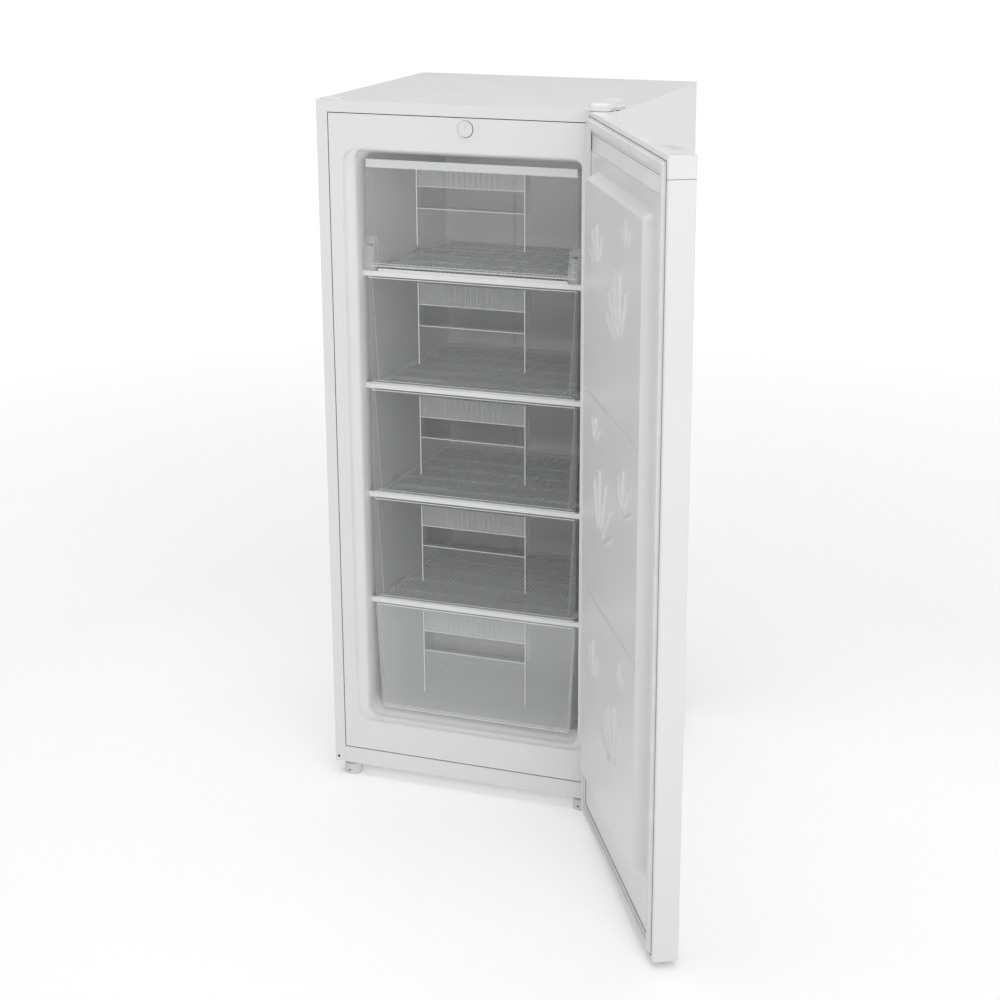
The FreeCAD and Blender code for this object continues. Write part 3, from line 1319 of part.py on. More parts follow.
def build_door_foam():
    """Insulation inside the door, up into the raised panel."""
    piece = body("door_foam")
    wall = mm.sheet
    low, high = mm.door_bottom + mm.foot_cap, CAP_JOINT - mm.cap_root
    back = INNER - mm.door_liner_wall
    block = sketch_on(piece, "XY", low)
    round_rectangle(block, FREE_EDGE + wall, OUTER + wall, HINGE_EDGE - wall, back, mm.door_round)
    pad(piece, block, high - low)
    inner = sketch_on(piece, "XZ", back)
    grow = mm.door_liner_wall
    side = mm.dyke_foot_width / 2 - grow
    round_rectangle(inner, DOOR_MIDDLE - side, mm.dyke_foot_low + grow, DOOR_MIDDLE + side,
                    mm.dyke_foot_high - grow, mm.dyke_corner - grow)
    loft(piece, [inner] + dyke_sections(piece, grow)[1:])
    swing(piece)


def build_door_gasket():
    """Rubber frame with a raised bulb that meets the cabinet's front face."""
    piece = body("door_gasket")

    def frame(at, inset, width, corner):
        outline = sketch_on(piece, "XZ", at)
        for extra, radius in ((inset, corner), (inset + width, corner / 2)):
            round_rectangle(outline, FREE_EDGE + extra, mm.door_bottom + extra, HINGE_EDGE - extra,
                            mm.door_top - extra, radius, 2)
        return outline

    base = frame(INNER, mm.gasket_inset, mm.gasket_width, 8)
    pad(piece, base, mm.gasket_base)
    bulb = frame(INNER + mm.gasket_base, mm.gasket_inset + mm.bulb_inset, mm.bulb_width, 6)
    pad(piece, bulb, mm.bulb_height)
    crest = INNER + mm.gasket_base + mm.bulb_height
    finish_edges(piece, "Chamfer", mm.bulb_round, lambda edge: abs(edge.CenterOfMass.y - plain(crest)) < 1e-3)
    swing(piece)


def build_door_bushes():
    """Flanged plastic bushes for the two hinge pins, and the plug of the unused hole."""
    bushes = []
    for label, base in (
        ("bush_upper", mm.door_top - mm.bush_length),
        ("bush_lower", mm.door_bottom),
    ):
        piece = body(label, keep=False)
        ring = sketch_on(piece, "XY", base)
        regular(ring, 0, 0, mm.bush_width - 0.04)
        circle(ring, 0, 0, mm.hinge_pin / 2 + mm.pin_clearance)
        pad(piece, ring, mm.bush_length)
        bushes.append(piece)
    swing(join("door_bushes", "Compound", bushes))
    plug = body("door_hole_plug")
    disc = sketch_on(plug, "XY", mm.door_top - mm.plug_depth)
    regular(disc, 2 * DOOR_MIDDLE, 0, mm.plug_width - 0.04)
    pad(plug, disc, mm.plug_depth)
    head = sketch_on(plug, "XY", mm.door_top)
    regular(head, 2 * DOOR_MIDDLE, 0, mm.plug_width + 4, 16)
    pad(plug, head, 1)
    swing(plug)


# ---- feet ----


def build_front_foot(label, side):
    """Levelling foot: broad disc, hexagon for the spanner and a stud up through the sill."""
    piece = body(label)
    disc = sketch_on(piece, "XY", 0)
    y = FRONT + mm.foot_setback
    regular(disc, side, y, mm.foot_width, 20)
    pad(piece, disc, mm.foot_disc)
    finish_edges(piece, "Chamfer", 1.5, lambda edge: edge.BoundBox.ZLength < 1e-3)
    nut = sketch_on(piece, "XY", mm.foot_disc)
    regular(nut, side, y, mm.foot_nut, 6)
    pad(piece, nut, mm.base_gap - mm.foot_disc)
    stud = sketch_on(piece, "XY", mm.foot_disc)
    circle(stud, side, y, mm.foot_stud / 2)
    pad(piece, stud, mm.base_gap - mm.foot_disc + mm.stud_reach)


def build_rear_feet():
    """Fixed feet under the compressor plate, each a drum with a tapered lower edge."""
    piece = body("rear_feet")
    drums = sketch_on(piece, "XY", 0)
    for hand in (-1, 1):
        regular(drums, hand * mm.rear_foot_side, BACK - mm.rear_foot_back, mm.rear_foot_width, 16)
    pad(piece, drums, mm.base_gap)
    finish_edges(piece, "Chamfer", 3, lambda edge: edge.CenterOfMass.z < 1)


# ---- cooling circuit ----

CAN_Y = BACK - mm.can_back
MOUNT_BASE = mm.base_gap + mm.plate_wall
CAN_BASE = MOUNT_BASE + mm.grommet_height + mm.foot_plate
MOUNT_X = 66
MOUNT_Y = 44


def build_compressor():
    """Hermetic compressor: welded can, motor block, stamped feet on rubber mounts, terminal cover."""
    shell = body("compressor_shell")
    width = mm.can_width
    low, high = CAN_BASE, CAN_BASE + mm.can_height
    seam = (low + high) / 2
    around = (mm.can_side, CAN_Y)
    rings = []
    for level, part in (
        (low, 0.6), (low + 10, 0.9), (low + 32, 1), (high - 38, 1), (high - 14, 0.88), (high, 0.5),
    ):
        ring = sketch_on(shell, "XY", level)
        regular(ring, *around, width * part, 20)
        rings.append(ring)
    loft(shell, rings)
    flange = sketch_on(shell, "XY", seam - mm.seam_height / 2)
    regular(flange, *around, mm.seam_width, 20)
    pad(shell, flange, mm.seam_height)
    hollow = sketch_on(shell, "XY", low + mm.can_wall)
    inner = width * 0.56
    regular(hollow, *around, inner)
    pocket(shell, hollow, mm.can_height - 14 - mm.can_wall)

    motor = body("compressor_motor")
    core = sketch_on(motor, "XY", low + mm.can_wall)
    regular(core, *around, inner - 8)
    pad(motor, core, mm.can_height - 40)

    feet = body("compressor_feet")
    bar = sketch_on(feet, "XY", low - mm.foot_plate)
    left, right = mm.can_side - MOUNT_X, mm.can_side + MOUNT_X
    near, far = CAN_Y - MOUNT_Y, CAN_Y + MOUNT_Y
    round_rectangle(bar, left - 14, near - 12, right + 14, far + 12, 10, 1)
    pad(feet, bar, mm.foot_plate)
    places = [(x, y) for x in (left, right) for y in (near, far)]
    holes = sketch_on(feet, "XY", low - mm.foot_plate)
    for place in places:
        regular(holes, *place, mm.mount_hole)
    pocket(feet, holes, mm.foot_plate)

    mounts = body("compressor_mounts")
    drums = sketch_on(mounts, "XY", MOUNT_BASE)
    stems = sketch_on(mounts, "XY", MOUNT_BASE)
    for place in places:
        regular(drums, *place, mm.grommet_width)
        regular(stems, *place, mm.mount_hole - 0.1)
    pad(mounts, drums, mm.grommet_height)
    pad(mounts, stems, mm.grommet_height + mm.foot_plate + 2)

    cover = body("terminal_cover")
    start = mm.can_side + width / 2
    box = sketch_on(cover, "YZ", start)
    half, top = mm.lid_width / 2, seam - mm.seam_height / 2 - 1
    round_rectangle(box, CAN_Y - half, top - mm.lid_height, CAN_Y + half, top, 5, 2)
    pad(cover, box, mm.lid_depth)
    finish_edges(cover, "Chamfer", 4, lambda edge: straight_along(edge, Vector(0, 1, 0))
                 and edge.CenterOfMass.x > plain(start + mm.lid_depth) - 2)


COIL_Y = BACK + mm.coil_off


def build_condenser():
    """Wire-on-tube condenser behind the cabinet."""
    tube = body("condenser_tube", keep=False)
    side = mm.coil_width / 2 - mm.coil_tube / 2 - mm.coil_pitch / 2
    path = sketch_on(tube, "XZ", COIL_Y)
    serpentine(path, -side, side, mm.coil_low, mm.coil_pitch, COIL_RUNS)
    section = sketch_on(tube, "YZ", -side)
    regular(section, COIL_Y, mm.coil_low, mm.coil_tube)
    sweep(tube, section, path)
    members = [tube]
    span = (COIL_WIRES - 1) * mm.coil_wire_pitch
    for number, (offset, shift) in enumerate(((0.5, 0), (-0.5, 0.5))):
        wires = body(f"condenser_wires_{number}", keep=False)
        face = COIL_Y + (mm.coil_tube + mm.coil_wire) * offset - mm.coil_wire / 2
        first = sketch_on(wires, "XY", mm.coil_low - mm.coil_overhang)
        left = -span / 2 + mm.coil_wire_pitch * shift - mm.coil_wire_pitch / 4
        rectangle(first, left, face, left + mm.coil_wire, face + mm.coil_wire)
        wire = pad(wires, first, (COIL_RUNS - 1) * mm.coil_pitch + 2 * mm.coil_overhang)
        row_of(wires, wire, "X", span, COIL_WIRES)
        members.append(wires)
    join("condenser", "Compound", members)
    clips = body("condenser_clips")
    for hand in (-1, 1):
        for run in (1, COIL_RUNS - 2):
            level = mm.coil_low + run * mm.coil_pitch
            x = hand * mm.clip_side
            radius = mm.coil_tube / 2
            arm, base = mm.clip_width / 2, mm.clip_base / 2
            foot = sketch_on(clips, "XY", level - mm.clip_height / 2)
            tip = COIL_Y + radius + mm.coil_wire + 2.4
            polygon(foot, [
                (x - base, BACK), (x + base, BACK), (x + base, BACK + 3), (x + arm, BACK + 11), (x + arm, tip),
                (x - arm, tip), (x - arm, BACK + 11), (x - base, BACK + 3),
            ])
            pad(clips, foot, mm.clip_height)
            groove = sketch_on(clips, "YZ", x - 20)
            reach = radius + mm.coil_wire + 0.1
            rectangle(groove, COIL_Y - reach, level - radius - 0.1, COIL_Y + reach, level + 12)
            pocket(clips, groove, 40)


def build_pipework():
    """Discharge and suction pipes, and the filter drier with the capillary back to the cabinet."""
    half = mm.coil_width / 2 - mm.coil_tube / 2 - mm.coil_pitch / 2
    top_run = mm.coil_low + (COIL_RUNS - 1) * mm.coil_pitch
    outside = -mm.coil_width / 2 - mm.pipe_width / 2 - 4
    can_half = mm.can_width / 2
    level = CAN_BASE + 50
    bent_tube("discharge_pipe", [
        (mm.can_side - can_half, CAN_Y, level), (outside, CAN_Y, level), (outside, COIL_Y, level),
        (outside, COIL_Y, top_run), (-half, COIL_Y, top_run),
    ], mm.coil_tube, plain(mm.pipe_bend))
    rise = mm.can_side + can_half + 70
    bent_tube("suction_pipe", [
        (mm.can_side + can_half, CAN_Y, CAN_BASE + 96), (rise, CAN_Y, CAN_BASE + 96),
        (rise, CAN_Y, mm.niche_top - mm.sheet),
    ], mm.pipe_width, plain(mm.pipe_bend))
    drier = body("drier_can", keep=False)
    low, top = mm.drier_low, mm.coil_low
    neck = low + mm.drier_length
    rings = []
    for height, width in (
        (low, 8), (low + 8, mm.drier_width), (neck, mm.drier_width), (neck + 10, mm.coil_tube),
        (top - mm.coil_tube / 2, mm.coil_tube),
    ):
        ring = sketch_on(drier, "XY", height)
        regular(ring, -half, COIL_Y, width)
        rings.append(ring)
    loft(drier, rings)
    capillary = bent_tube("capillary", [
        (-half, COIL_Y, low), (-half, COIL_Y, low - mm.capillary_drop),
        (-half, BACK - 30, low - mm.capillary_drop), (-half, BACK - 30, mm.niche_top - mm.sheet),
    ], mm.capillary_width, 8, sides=4, keep=False)
    join("filter_drier", "Compound", [drier, capillary])


def build_drain():
    """Tube that lets melt water out of the cavity under the cabinet."""
    piece = body("drain_tube")
    place = (mm.drain_side, FRONT + mm.drain_setback)
    low = mm.sill_top - 12
    tube = sketch_on(piece, "XY", low)
    regular(tube, *place, mm.drain_width - 0.1)
    regular(tube, *place, mm.drain_width - 2 * mm.drain_wall)
    pad(piece, tube, mm.room_floor - low)


def build_cord_gland():
    """Inlet grommet of the mains lead on the compressor plate's rear lip."""
    piece = body("cord_gland")
    x = mm.gland_side
    z = mm.base_gap + mm.plate_wall + mm.gland_rise
    lip = BACK - mm.sheet - mm.fit
    collar = sketch_on(piece, "XZ", lip)
    regular(collar, x, z, mm.gland_width, 16)
    pad(piece, collar, mm.gland_collar)
    end = lip + mm.gland_collar
    sleeve = sketch_on(piece, "XZ", end)
    regular(sleeve, x, z, mm.gland_sleeve)
    pad(piece, sleeve, mm.gland_reach)
    bore = sketch_on(piece, "XZ", end + mm.gland_reach)
    regular(bore, x, z, mm.lead_bore)
    pocket(piece, bore, mm.gland_reach + 2, up=False)


build_outer_shell()
build_rear_panel()
build_bottom_panel()
build_compressor_plate()
build_front_sill()
liner_outside, liner_inside = build_liner_forms()
build_inner_liner(liner_outside, liner_inside)
build_cabinet_foam(liner_outside)
for shelf in range(SHELVES):
    build_evaporator_shelf(shelf)
    build_shelf_trim(shelf)
build_riser()
build_drawers()
build_flap()
build_flap_bracket(-1, "flap_bracket_left")
build_flap_bracket(1, "flap_bracket_right")
build_thermostat()
build_upper_hinge()
build_lower_hinge()
build_screws()
build_hole_cap()
build_door_skin()
build_door_top_cap()
build_door_bottom_cap()
build_door_liner()
build_door_foam()
build_door_gasket()
build_door_bushes()
build_front_foot("front_foot_left", -mm.foot_side)
build_front_foot("front_foot_right", mm.foot_side_hinge)
build_rear_feet()
build_compressor()
build_condenser()
build_pipework()
build_drain()
build_cord_gland()

document.recompute()
for thing in document.Objects:
    if "Invalid" in thing.State or "Error" in thing.State:
        raise RuntimeError(f"{thing.Label} failed to build")
for piece in nodes:
    if piece.Shape.isNull() or not piece.Shape.isValid():
        raise RuntimeError(f"{piece.Label} has no valid shape")
os.makedirs("parts", exist_ok=True)
for piece in nodes:
    piece.Shape.exportStep(f"parts/{piece.Label}.step")
print(len(nodes), "pieces")
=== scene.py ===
import bpy
import bmesh
import json
import math
import numpy as np
from mathutils import Matrix, Vector


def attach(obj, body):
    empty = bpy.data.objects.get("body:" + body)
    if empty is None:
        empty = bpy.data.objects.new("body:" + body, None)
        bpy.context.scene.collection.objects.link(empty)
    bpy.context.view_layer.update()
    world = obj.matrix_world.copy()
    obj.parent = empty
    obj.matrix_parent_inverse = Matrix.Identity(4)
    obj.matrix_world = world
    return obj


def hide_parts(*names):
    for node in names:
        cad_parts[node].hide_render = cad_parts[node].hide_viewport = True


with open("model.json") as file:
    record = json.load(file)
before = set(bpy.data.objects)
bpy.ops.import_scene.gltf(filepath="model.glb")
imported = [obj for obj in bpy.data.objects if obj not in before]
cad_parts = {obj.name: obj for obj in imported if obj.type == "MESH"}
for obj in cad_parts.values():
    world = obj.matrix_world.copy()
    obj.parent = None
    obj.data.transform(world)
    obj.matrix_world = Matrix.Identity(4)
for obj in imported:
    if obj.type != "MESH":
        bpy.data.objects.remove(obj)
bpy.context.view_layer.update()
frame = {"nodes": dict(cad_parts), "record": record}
nodes = frame["nodes"]
print("frame loaded with", len(nodes), "nodes")

# All lengths below are in millimetres and become metres when a mesh is made.
toMetres = 0.001
front = -238.0
doorSwing = {"hingeX": 252.9, "hingeY": -264.0, "angle": 120.2}


# the finishes, each a node material on Object coordinates

def newMaterial(name):
    made = bpy.data.materials.new(name)
    made.use_nodes = True
    tree = made.node_tree
    return made, tree, tree.nodes["Principled BSDF"]


def fill(node, values):
    for key, value in values.items():
        node.inputs[key].default_value = value


def objectCoords(tree, stretch=(1, 1, 1)):
    coords = tree.nodes.new("ShaderNodeTexCoord")
    mapping = tree.nodes.new("ShaderNodeMapping")
    fill(mapping, {"Scale": stretch})
    tree.links.new(coords.outputs["Object"], mapping.inputs["Vector"])
    return mapping.outputs["Vector"]


def noise(tree, vector, size, detail=3.0, rough=0.55):
    texture = tree.nodes.new("ShaderNodeTexNoise")
    fill(texture, {"Scale": 1 / (size * toMetres), "Detail": detail, "Roughness": rough})
    tree.links.new(vector, texture.inputs["Vector"])
    return texture.outputs["Fac"]


def cells(tree, vector, size):
    texture = tree.nodes.new("ShaderNodeTexVoronoi")
    fill(texture, {"Scale": 1 / (size * toMetres)})
    tree.links.new(vector, texture.inputs["Vector"])
    return texture.outputs


def mapped(tree, value, low, high, target, start=0, end=1, kind="LINEAR"):
    # carries a value from start..end over to low..high and feeds it to the target
    reach = tree.nodes.new("ShaderNodeMapRange")
    reach.interpolation_type = kind
    fill(reach, {"From Min": start, "From Max": end, "To Min": low, "To Max": high})
    tree.links.new(value, reach.inputs["Value"])
    tree.links.new(reach.outputs["Result"], target)


def glossed(tree, value, look, shader):
    mapped(tree, value, look["smooth"], look["rough"], shader.inputs["Roughness"], 0.3, 0.7, "SMOOTHSTEP")


def tinted(tree, value, dark, light):
    ramp = tree.nodes.new("ShaderNodeValToRGB")
    ramp.color_ramp.interpolation = "EASE"
    ramp.color_ramp.elements[0].position = 0.3
    ramp.color_ramp.elements[0].color = (*dark, 1)
    ramp.color_ramp.elements[1].position = 0.7
    ramp.color_ramp.elements[1].color = (*light, 1)
    tree.links.new(value, ramp.inputs["Fac"])
    return ramp.outputs["Color"]


def bumped(tree, shader, height, depth, strength=1.0):
    bump = tree.nodes.new("ShaderNodeBump")
    fill(bump, {"Distance": depth * toMetres, "Strength": strength})
    tree.links.new(height, bump.inputs["Height"])
    tree.links.new(bump.outputs["Normal"], shader.inputs["Normal"])


def grainedFinish(name, look, cloudDetail=3.0, grainDetail=3.0, strength=0.5):
    # a broad unevenness of tone and gloss under a fine grain
    made, tree, shader = newMaterial(name)
    vector = objectCoords(tree, look.get("stretch", (1, 1, 1)))
    broad = noise(tree, vector, look["cloud"], cloudDetail)
    tree.links.new(tinted(tree, broad, look["dark"], look["light"]), shader.inputs["Base Color"])
    glossed(tree, broad, look, shader)
    bumped(tree, shader, noise(tree, vector, look["grain"], grainDetail), look["grainDepth"], strength)
    return made, shader


def whiteEnamel(name, look):
    # powder coat on sheet steel: fine orange peel under a thin clear gloss
    made, shader = grainedFinish(name, look, grainDetail=2.0)
    fill(shader, {"Coat Weight": look["coat"], "Coat Roughness": 0.12})
    return made


def mouldedStyrene(name, look):
    # opaque injection-moulded or vacuum-formed plastic: soft sheen with a fine grain
    made, shader = grainedFinish(name, look, grainDetail=4.0, strength=0.6)
    fill(shader, {"IOR": 1.5})
    return made


def clearStyrene(name, look):
    # clear moulding: see-through face on, milky and glossy where it is seen edge on
    made, tree, shader = newMaterial(name)
    vector = objectCoords(tree)
    wave = noise(tree, vector, look["ripple"], 2.0)
    # Emission Strength takes the look's glow: a glow above zero is painted light, a clear part that shines though it
    # is no lamp
    fill(shader, {"Base Color": (*look["tint"], 1), "IOR": 1.59, "Specular IOR Level": 0.62,
                  "Emission Color": (1, 1, 1, 1), "Emission Strength": look["glow"]})
    glossed(tree, wave, look, shader)
    bumped(tree, shader, wave, look["rippleDepth"], 0.35)
    facing = tree.nodes.new("ShaderNodeLayerWeight")
    fill(facing, {"Blend": look["edge"]})
    mapped(tree, facing.outputs["Facing"], look["faceOn"], look["edgeOn"], shader.inputs["Alpha"])
    return made


def softVinyl(name, look):
    # gasket and rubber: dull and slightly dusty
    return grainedFinish(name, look)[0]


def zincPlate(name, look):
    # galvanised or plated steel: crystal patches that differ in tone and gloss
    made, tree, shader = newMaterial(name)
    vector = objectCoords(tree)
    split = tree.nodes.new("ShaderNodeSeparateColor")
    tree.links.new(cells(tree, vector, look["spangle"])["Color"], split.inputs["Color"])
    tree.links.new(tinted(tree, split.outputs["Red"], look["dark"], look["light"]), shader.inputs["Base Color"])
    glossed(tree, split.outputs["Green"], look, shader)
    fill(shader, {"Metallic": 1.0})
    bumped(tree, shader, noise(tree, vector, look["grain"], 3.0), look["grainDepth"], 0.4)
    return made


def drawnMetal(name, look):
    # tube and wire stock: coat or bare metal with a little tarnish
    made, shader = grainedFinish(name, look, cloudDetail=4.0, grainDetail=2.0)
    fill(shader, {"Metallic": look["metal"]})
    return made


def foamedResin(name, look):
    # cut polyurethane foam: open pores over a yellowed body
    made, tree, shader = newMaterial(name)
    vector = objectCoords(tree)
    tone = noise(tree, vector, look["cloud"])
    tree.links.new(tinted(tree, tone, look["dark"], look["light"]), shader.inputs["Base Color"])
    fill(shader, {"Roughness": 0.95})
    bumped(tree, shader, cells(tree, vector, look["pore"])["Distance"], look["poreDepth"], 0.8)
    return made


finishTable = {
    "cabinetEnamel": (whiteEnamel, {
        "dark": (0.84, 0.84, 0.843), "light": (0.852, 0.852, 0.852), "smooth": 0.32, "rough": 0.36,
        "cloud": 180, "grain": 1.6, "grainDepth": 0.05, "coat": 0.15}),
    "linerStyrene": (mouldedStyrene, {
        "dark": (0.845, 0.845, 0.845), "light": (0.858, 0.858, 0.855), "smooth": 0.3, "rough": 0.34,
        "cloud": 120, "grain": 0.9, "grainDepth": 0.02}),
    # a darker copy of the liner finish for the door's panel: painted shade
    "doorShadedStyrene": (mouldedStyrene, {
        "dark": (0.775, 0.775, 0.775), "light": (0.786, 0.786, 0.783), "smooth": 0.28, "rough": 0.31,
        "cloud": 120, "grain": 0.9, "grainDepth": 0.02}),
    "capStyrene": (mouldedStyrene, {
        "dark": (0.84, 0.84, 0.845), "light": (0.87, 0.87, 0.875), "smooth": 0.3, "rough": 0.42,
        "cloud": 60, "grain": 0.6, "grainDepth": 0.03}),
    "knobStyrene": (mouldedStyrene, {
        "dark": (0.8, 0.81, 0.82), "light": (0.85, 0.85, 0.86), "smooth": 0.24, "rough": 0.34,
        "cloud": 20, "grain": 0.5, "grainDepth": 0.02}),
    "clearStyrene": (clearStyrene, {
        "tint": (0.74, 0.75, 0.75), "smooth": 0.05, "rough": 0.12, "ripple": 38, "rippleDepth": 0.35,
        "edge": 0.3, "faceOn": 0.07, "edgeOn": 0.5, "glow": 0.0}),
    # a bright, glowing copy of the clear finish for edges and thin highlight tubes: painted highlight
    "clearPaintedHighlight": (clearStyrene, {
        "tint": (0.93, 0.94, 0.94), "smooth": 0.08, "rough": 0.2, "ripple": 9, "rippleDepth": 0.2,
        "edge": 0.35, "faceOn": 0.42, "edgeOn": 0.72, "glow": 0.05}),
    # a milky, glowing copy of the clear finish for the flap's thick band: its glow is painted light
    "clearBandGlow": (clearStyrene, {
        "tint": (0.96, 0.97, 0.97), "smooth": 0.08, "rough": 0.2, "ripple": 24, "rippleDepth": 0.3,
        "edge": 0.35, "faceOn": 0.56, "edgeOn": 0.82, "glow": 0.03}),
    # a lighter copy of the clear finish with a small glow, for the lowest drawer and the flap's brackets: painted
    # light
    "clearLitGlow": (clearStyrene, {
        "tint": (0.92, 0.93, 0.93), "smooth": 0.06, "rough": 0.14, "ripple": 38, "rippleDepth": 0.35,
        "edge": 0.3, "faceOn": 0.17, "edgeOn": 0.5, "glow": 0.03}),
    # a lighter, milkier copy of the clear finish for the fluted band: partly the band's own milkiness, partly painted
    # sheen
    "clearGripSheen": (clearStyrene, {
        "tint": (0.9, 0.91, 0.91), "smooth": 0.06, "rough": 0.14, "ripple": 30, "rippleDepth": 0.4,
        "edge": 0.3, "faceOn": 0.1, "edgeOn": 0.5, "glow": 0.0}),
    "shelfCoat": (drawnMetal, {
        "dark": (0.72, 0.73, 0.74), "light": (0.82, 0.83, 0.83), "smooth": 0.35, "rough": 0.5,
        "cloud": 30, "grain": 1.2, "grainDepth": 0.03, "metal": 0.0}),
    # a darker copy of the shelf coat for the evaporator tube: painted shade along the tube
    "tubeShadedCoat": (drawnMetal, {
        "dark": (0.4, 0.41, 0.42), "light": (0.52, 0.53, 0.53), "smooth": 0.35, "rough": 0.5,
        "cloud": 24, "grain": 1.4, "grainDepth": 0.04, "metal": 0.0}),
    "gasketVinyl": (softVinyl, {
        "dark": (0.76, 0.76, 0.755), "light": (0.82, 0.82, 0.815), "smooth": 0.5, "rough": 0.62,
        "cloud": 40, "grain": 0.8, "grainDepth": 0.04}),
    "zincSheet": (zincPlate, {
        "dark": (0.55, 0.56, 0.58), "light": (0.66, 0.67, 0.69), "smooth": 0.34, "rough": 0.44,
        "spangle": 7, "grain": 1.5, "grainDepth": 0.02}),
    "hingeZinc": (zincPlate, {
        "dark": (0.55, 0.56, 0.57), "light": (0.68, 0.69, 0.7), "smooth": 0.25, "rough": 0.36,
        "spangle": 3, "grain": 0.8, "grainDepth": 0.02}),
    "blackEnamel": (drawnMetal, {
        "dark": (0.012, 0.012, 0.013), "light": (0.03, 0.03, 0.032), "smooth": 0.28, "rough": 0.45,
        "cloud": 25, "grain": 1.0, "grainDepth": 0.04, "metal": 0.0}),
    "blackNylon": (mouldedStyrene, {
        "dark": (0.016, 0.016, 0.017), "light": (0.034, 0.034, 0.036), "smooth": 0.42, "rough": 0.58,
        "cloud": 20, "grain": 0.5, "grainDepth": 0.03}),
    "footNylon": (mouldedStyrene, {
        "dark": (0.7, 0.7, 0.71), "light": (0.77, 0.77, 0.78), "smooth": 0.4, "rough": 0.55,
        "cloud": 15, "grain": 0.5, "grainDepth": 0.03}),
    "mountRubber": (softVinyl, {
        "dark": (0.014, 0.014, 0.014), "light": (0.03, 0.03, 0.03), "smooth": 0.62, "rough": 0.8,
        "cloud": 10, "grain": 0.5, "grainDepth": 0.05}),
    "motorIron": (drawnMetal, {
        "dark": (0.2, 0.2, 0.21), "light": (0.32, 0.32, 0.33), "smooth": 0.5, "rough": 0.7,
        "cloud": 12, "grain": 0.9, "grainDepth": 0.1, "metal": 1.0}),
    "drawnCopper": (drawnMetal, {
        "dark": (0.52, 0.24, 0.13), "light": (0.78, 0.42, 0.26), "smooth": 0.22, "rough": 0.42,
        "cloud": 14, "grain": 0.7, "grainDepth": 0.02, "metal": 1.0, "stretch": (1, 1, 0.2)}),
    "foam": (foamedResin, {
        "dark": (0.72, 0.58, 0.32), "light": (0.84, 0.72, 0.46), "cloud": 60, "pore": 1.1, "poreDepth": 0.3}),
}
finishes = {name: maker(name, look) for name, (maker, look) in finishTable.items()}

finishOfSlot = {
    "cabinet_steel": "cabinetEnamel", "zinc_sheet": "zincSheet", "liner_plastic": "linerStyrene",
    "cap_plastic": "capStyrene", "knob_plastic": "knobStyrene", "clear_plastic": "clearStyrene",
    "evaporator_tube": "shelfCoat", "gasket_rubber": "gasketVinyl", "foam": "foam",
    "hinge_steel": "hingeZinc", "foot_plastic": "footNylon", "black_steel": "blackEnamel",
    "black_plastic": "blackNylon", "motor_iron": "motorIron", "mount_rubber": "mountRubber",
    "copper": "drawnCopper",
}
slotOfNode = {part["node"]: part["material_slot"] for part in frame["record"]["subparts"]}
bodyOfNode = {member: bodyName for bodyName, members in frame["record"]["behaviour"]["bodies"].items()
              for member in members}


def dress(thing, slotName):
    thing.data.materials.clear()
    thing.data.materials.append(finishes[finishOfSlot[slotName]])
    if slotName == "clear_plastic":
        thing.data.materials.append(finishes["clearPaintedHighlight"])  # painted highlight: a cut or rounded edge takes a bright, glowing copy of the clear finish


for nodeName, node in nodes.items():
    for slotIndex in range(len(node.material_slots)):
        node.material_slots[slotIndex].material = finishes[finishOfSlot[slotOfNode[nodeName]]]
print("finishes ready:", len(finishes))


# helpers that make the meshes

def gridFaces(rows, cols, wrap):
    # each quad joins point (r, c) with its neighbours (r, c+1), (r+1, c+1) and (r+1, c)
    r = np.arange(rows - 1)[:, None]
    c = np.arange(cols if wrap else cols - 1)[None, :]
    following = (c + 1) % cols
    return np.stack([r * cols + c, r * cols + following, (r + 1) * cols + following,
                     (r + 1) * cols + c], axis=-1).reshape(-1, 4)


def surface(points, wrap=True, caps=True):
    # a grid of points (rows, columns, 3) as vertices and faces, with its first and last row closed
    rows, cols = points.shape[:2]
    faces = gridFaces(rows, cols, wrap).tolist()
    if caps:
        faces.append(list(range(cols))[::-1])
        faces.append(list(range((rows - 1) * cols, rows * cols)))
    return points.reshape(-1, 3), faces


def linked(name, data):
    # a new object in the scene that holds the given mesh, lamp or camera
    made = bpy.data.objects.new(name, data)
    bpy.context.scene.collection.objects.link(made)
    return made


def cleaned(mesh, apart, sharp, flat=None):
    # closes the doubles, joins the flat faces or turns all faces outwards, and shades smooth up to the sharp angle
    tidy = bmesh.new()
    tidy.from_mesh(mesh)
    bmesh.ops.remove_doubles(tidy, verts=tidy.verts, dist=apart)
    if flat:
        bmesh.ops.dissolve_limit(tidy, angle_limit=math.radians(flat), verts=tidy.verts, edges=tidy.edges)
    else:
        bmesh.ops.recalc_face_normals(tidy, faces=tidy.faces)
    tidy.to_mesh(mesh)
    tidy.free()
    mesh.shade_smooth()
    mesh.set_sharp_from_angle(angle=math.radians(sharp))


def finished(piece, slotName, body, replaced):
    # dresses a piece and says what it rides on, whose finish it has and which nodes it stands for
    dress(piece, slotName)
    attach(piece, body)
    if replaced:
        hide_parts(*replaced)
    return piece


def addPiece(name, parts, slotName, body, replaced=(), sharp=35, main=None):
    # joins several (vertices, faces) into one mesh, which may stand for the replaced nodes
    vertices, faces, start = [], [], 0
    for points, quads in parts:
        vertices.append(points)
        faces.extend([[start + corner for corner in face] for face in quads])
        start += len(points)
    mesh = bpy.data.meshes.new(name)
    mesh.from_pydata((np.concatenate(vertices) * toMetres).tolist(), [], faces)
    cleaned(mesh, 1e-6, sharp)
    piece = finished(linked(name, mesh), slotName, body, replaced)
    if main:
        mesh.materials[0] = finishes[main]
    return piece


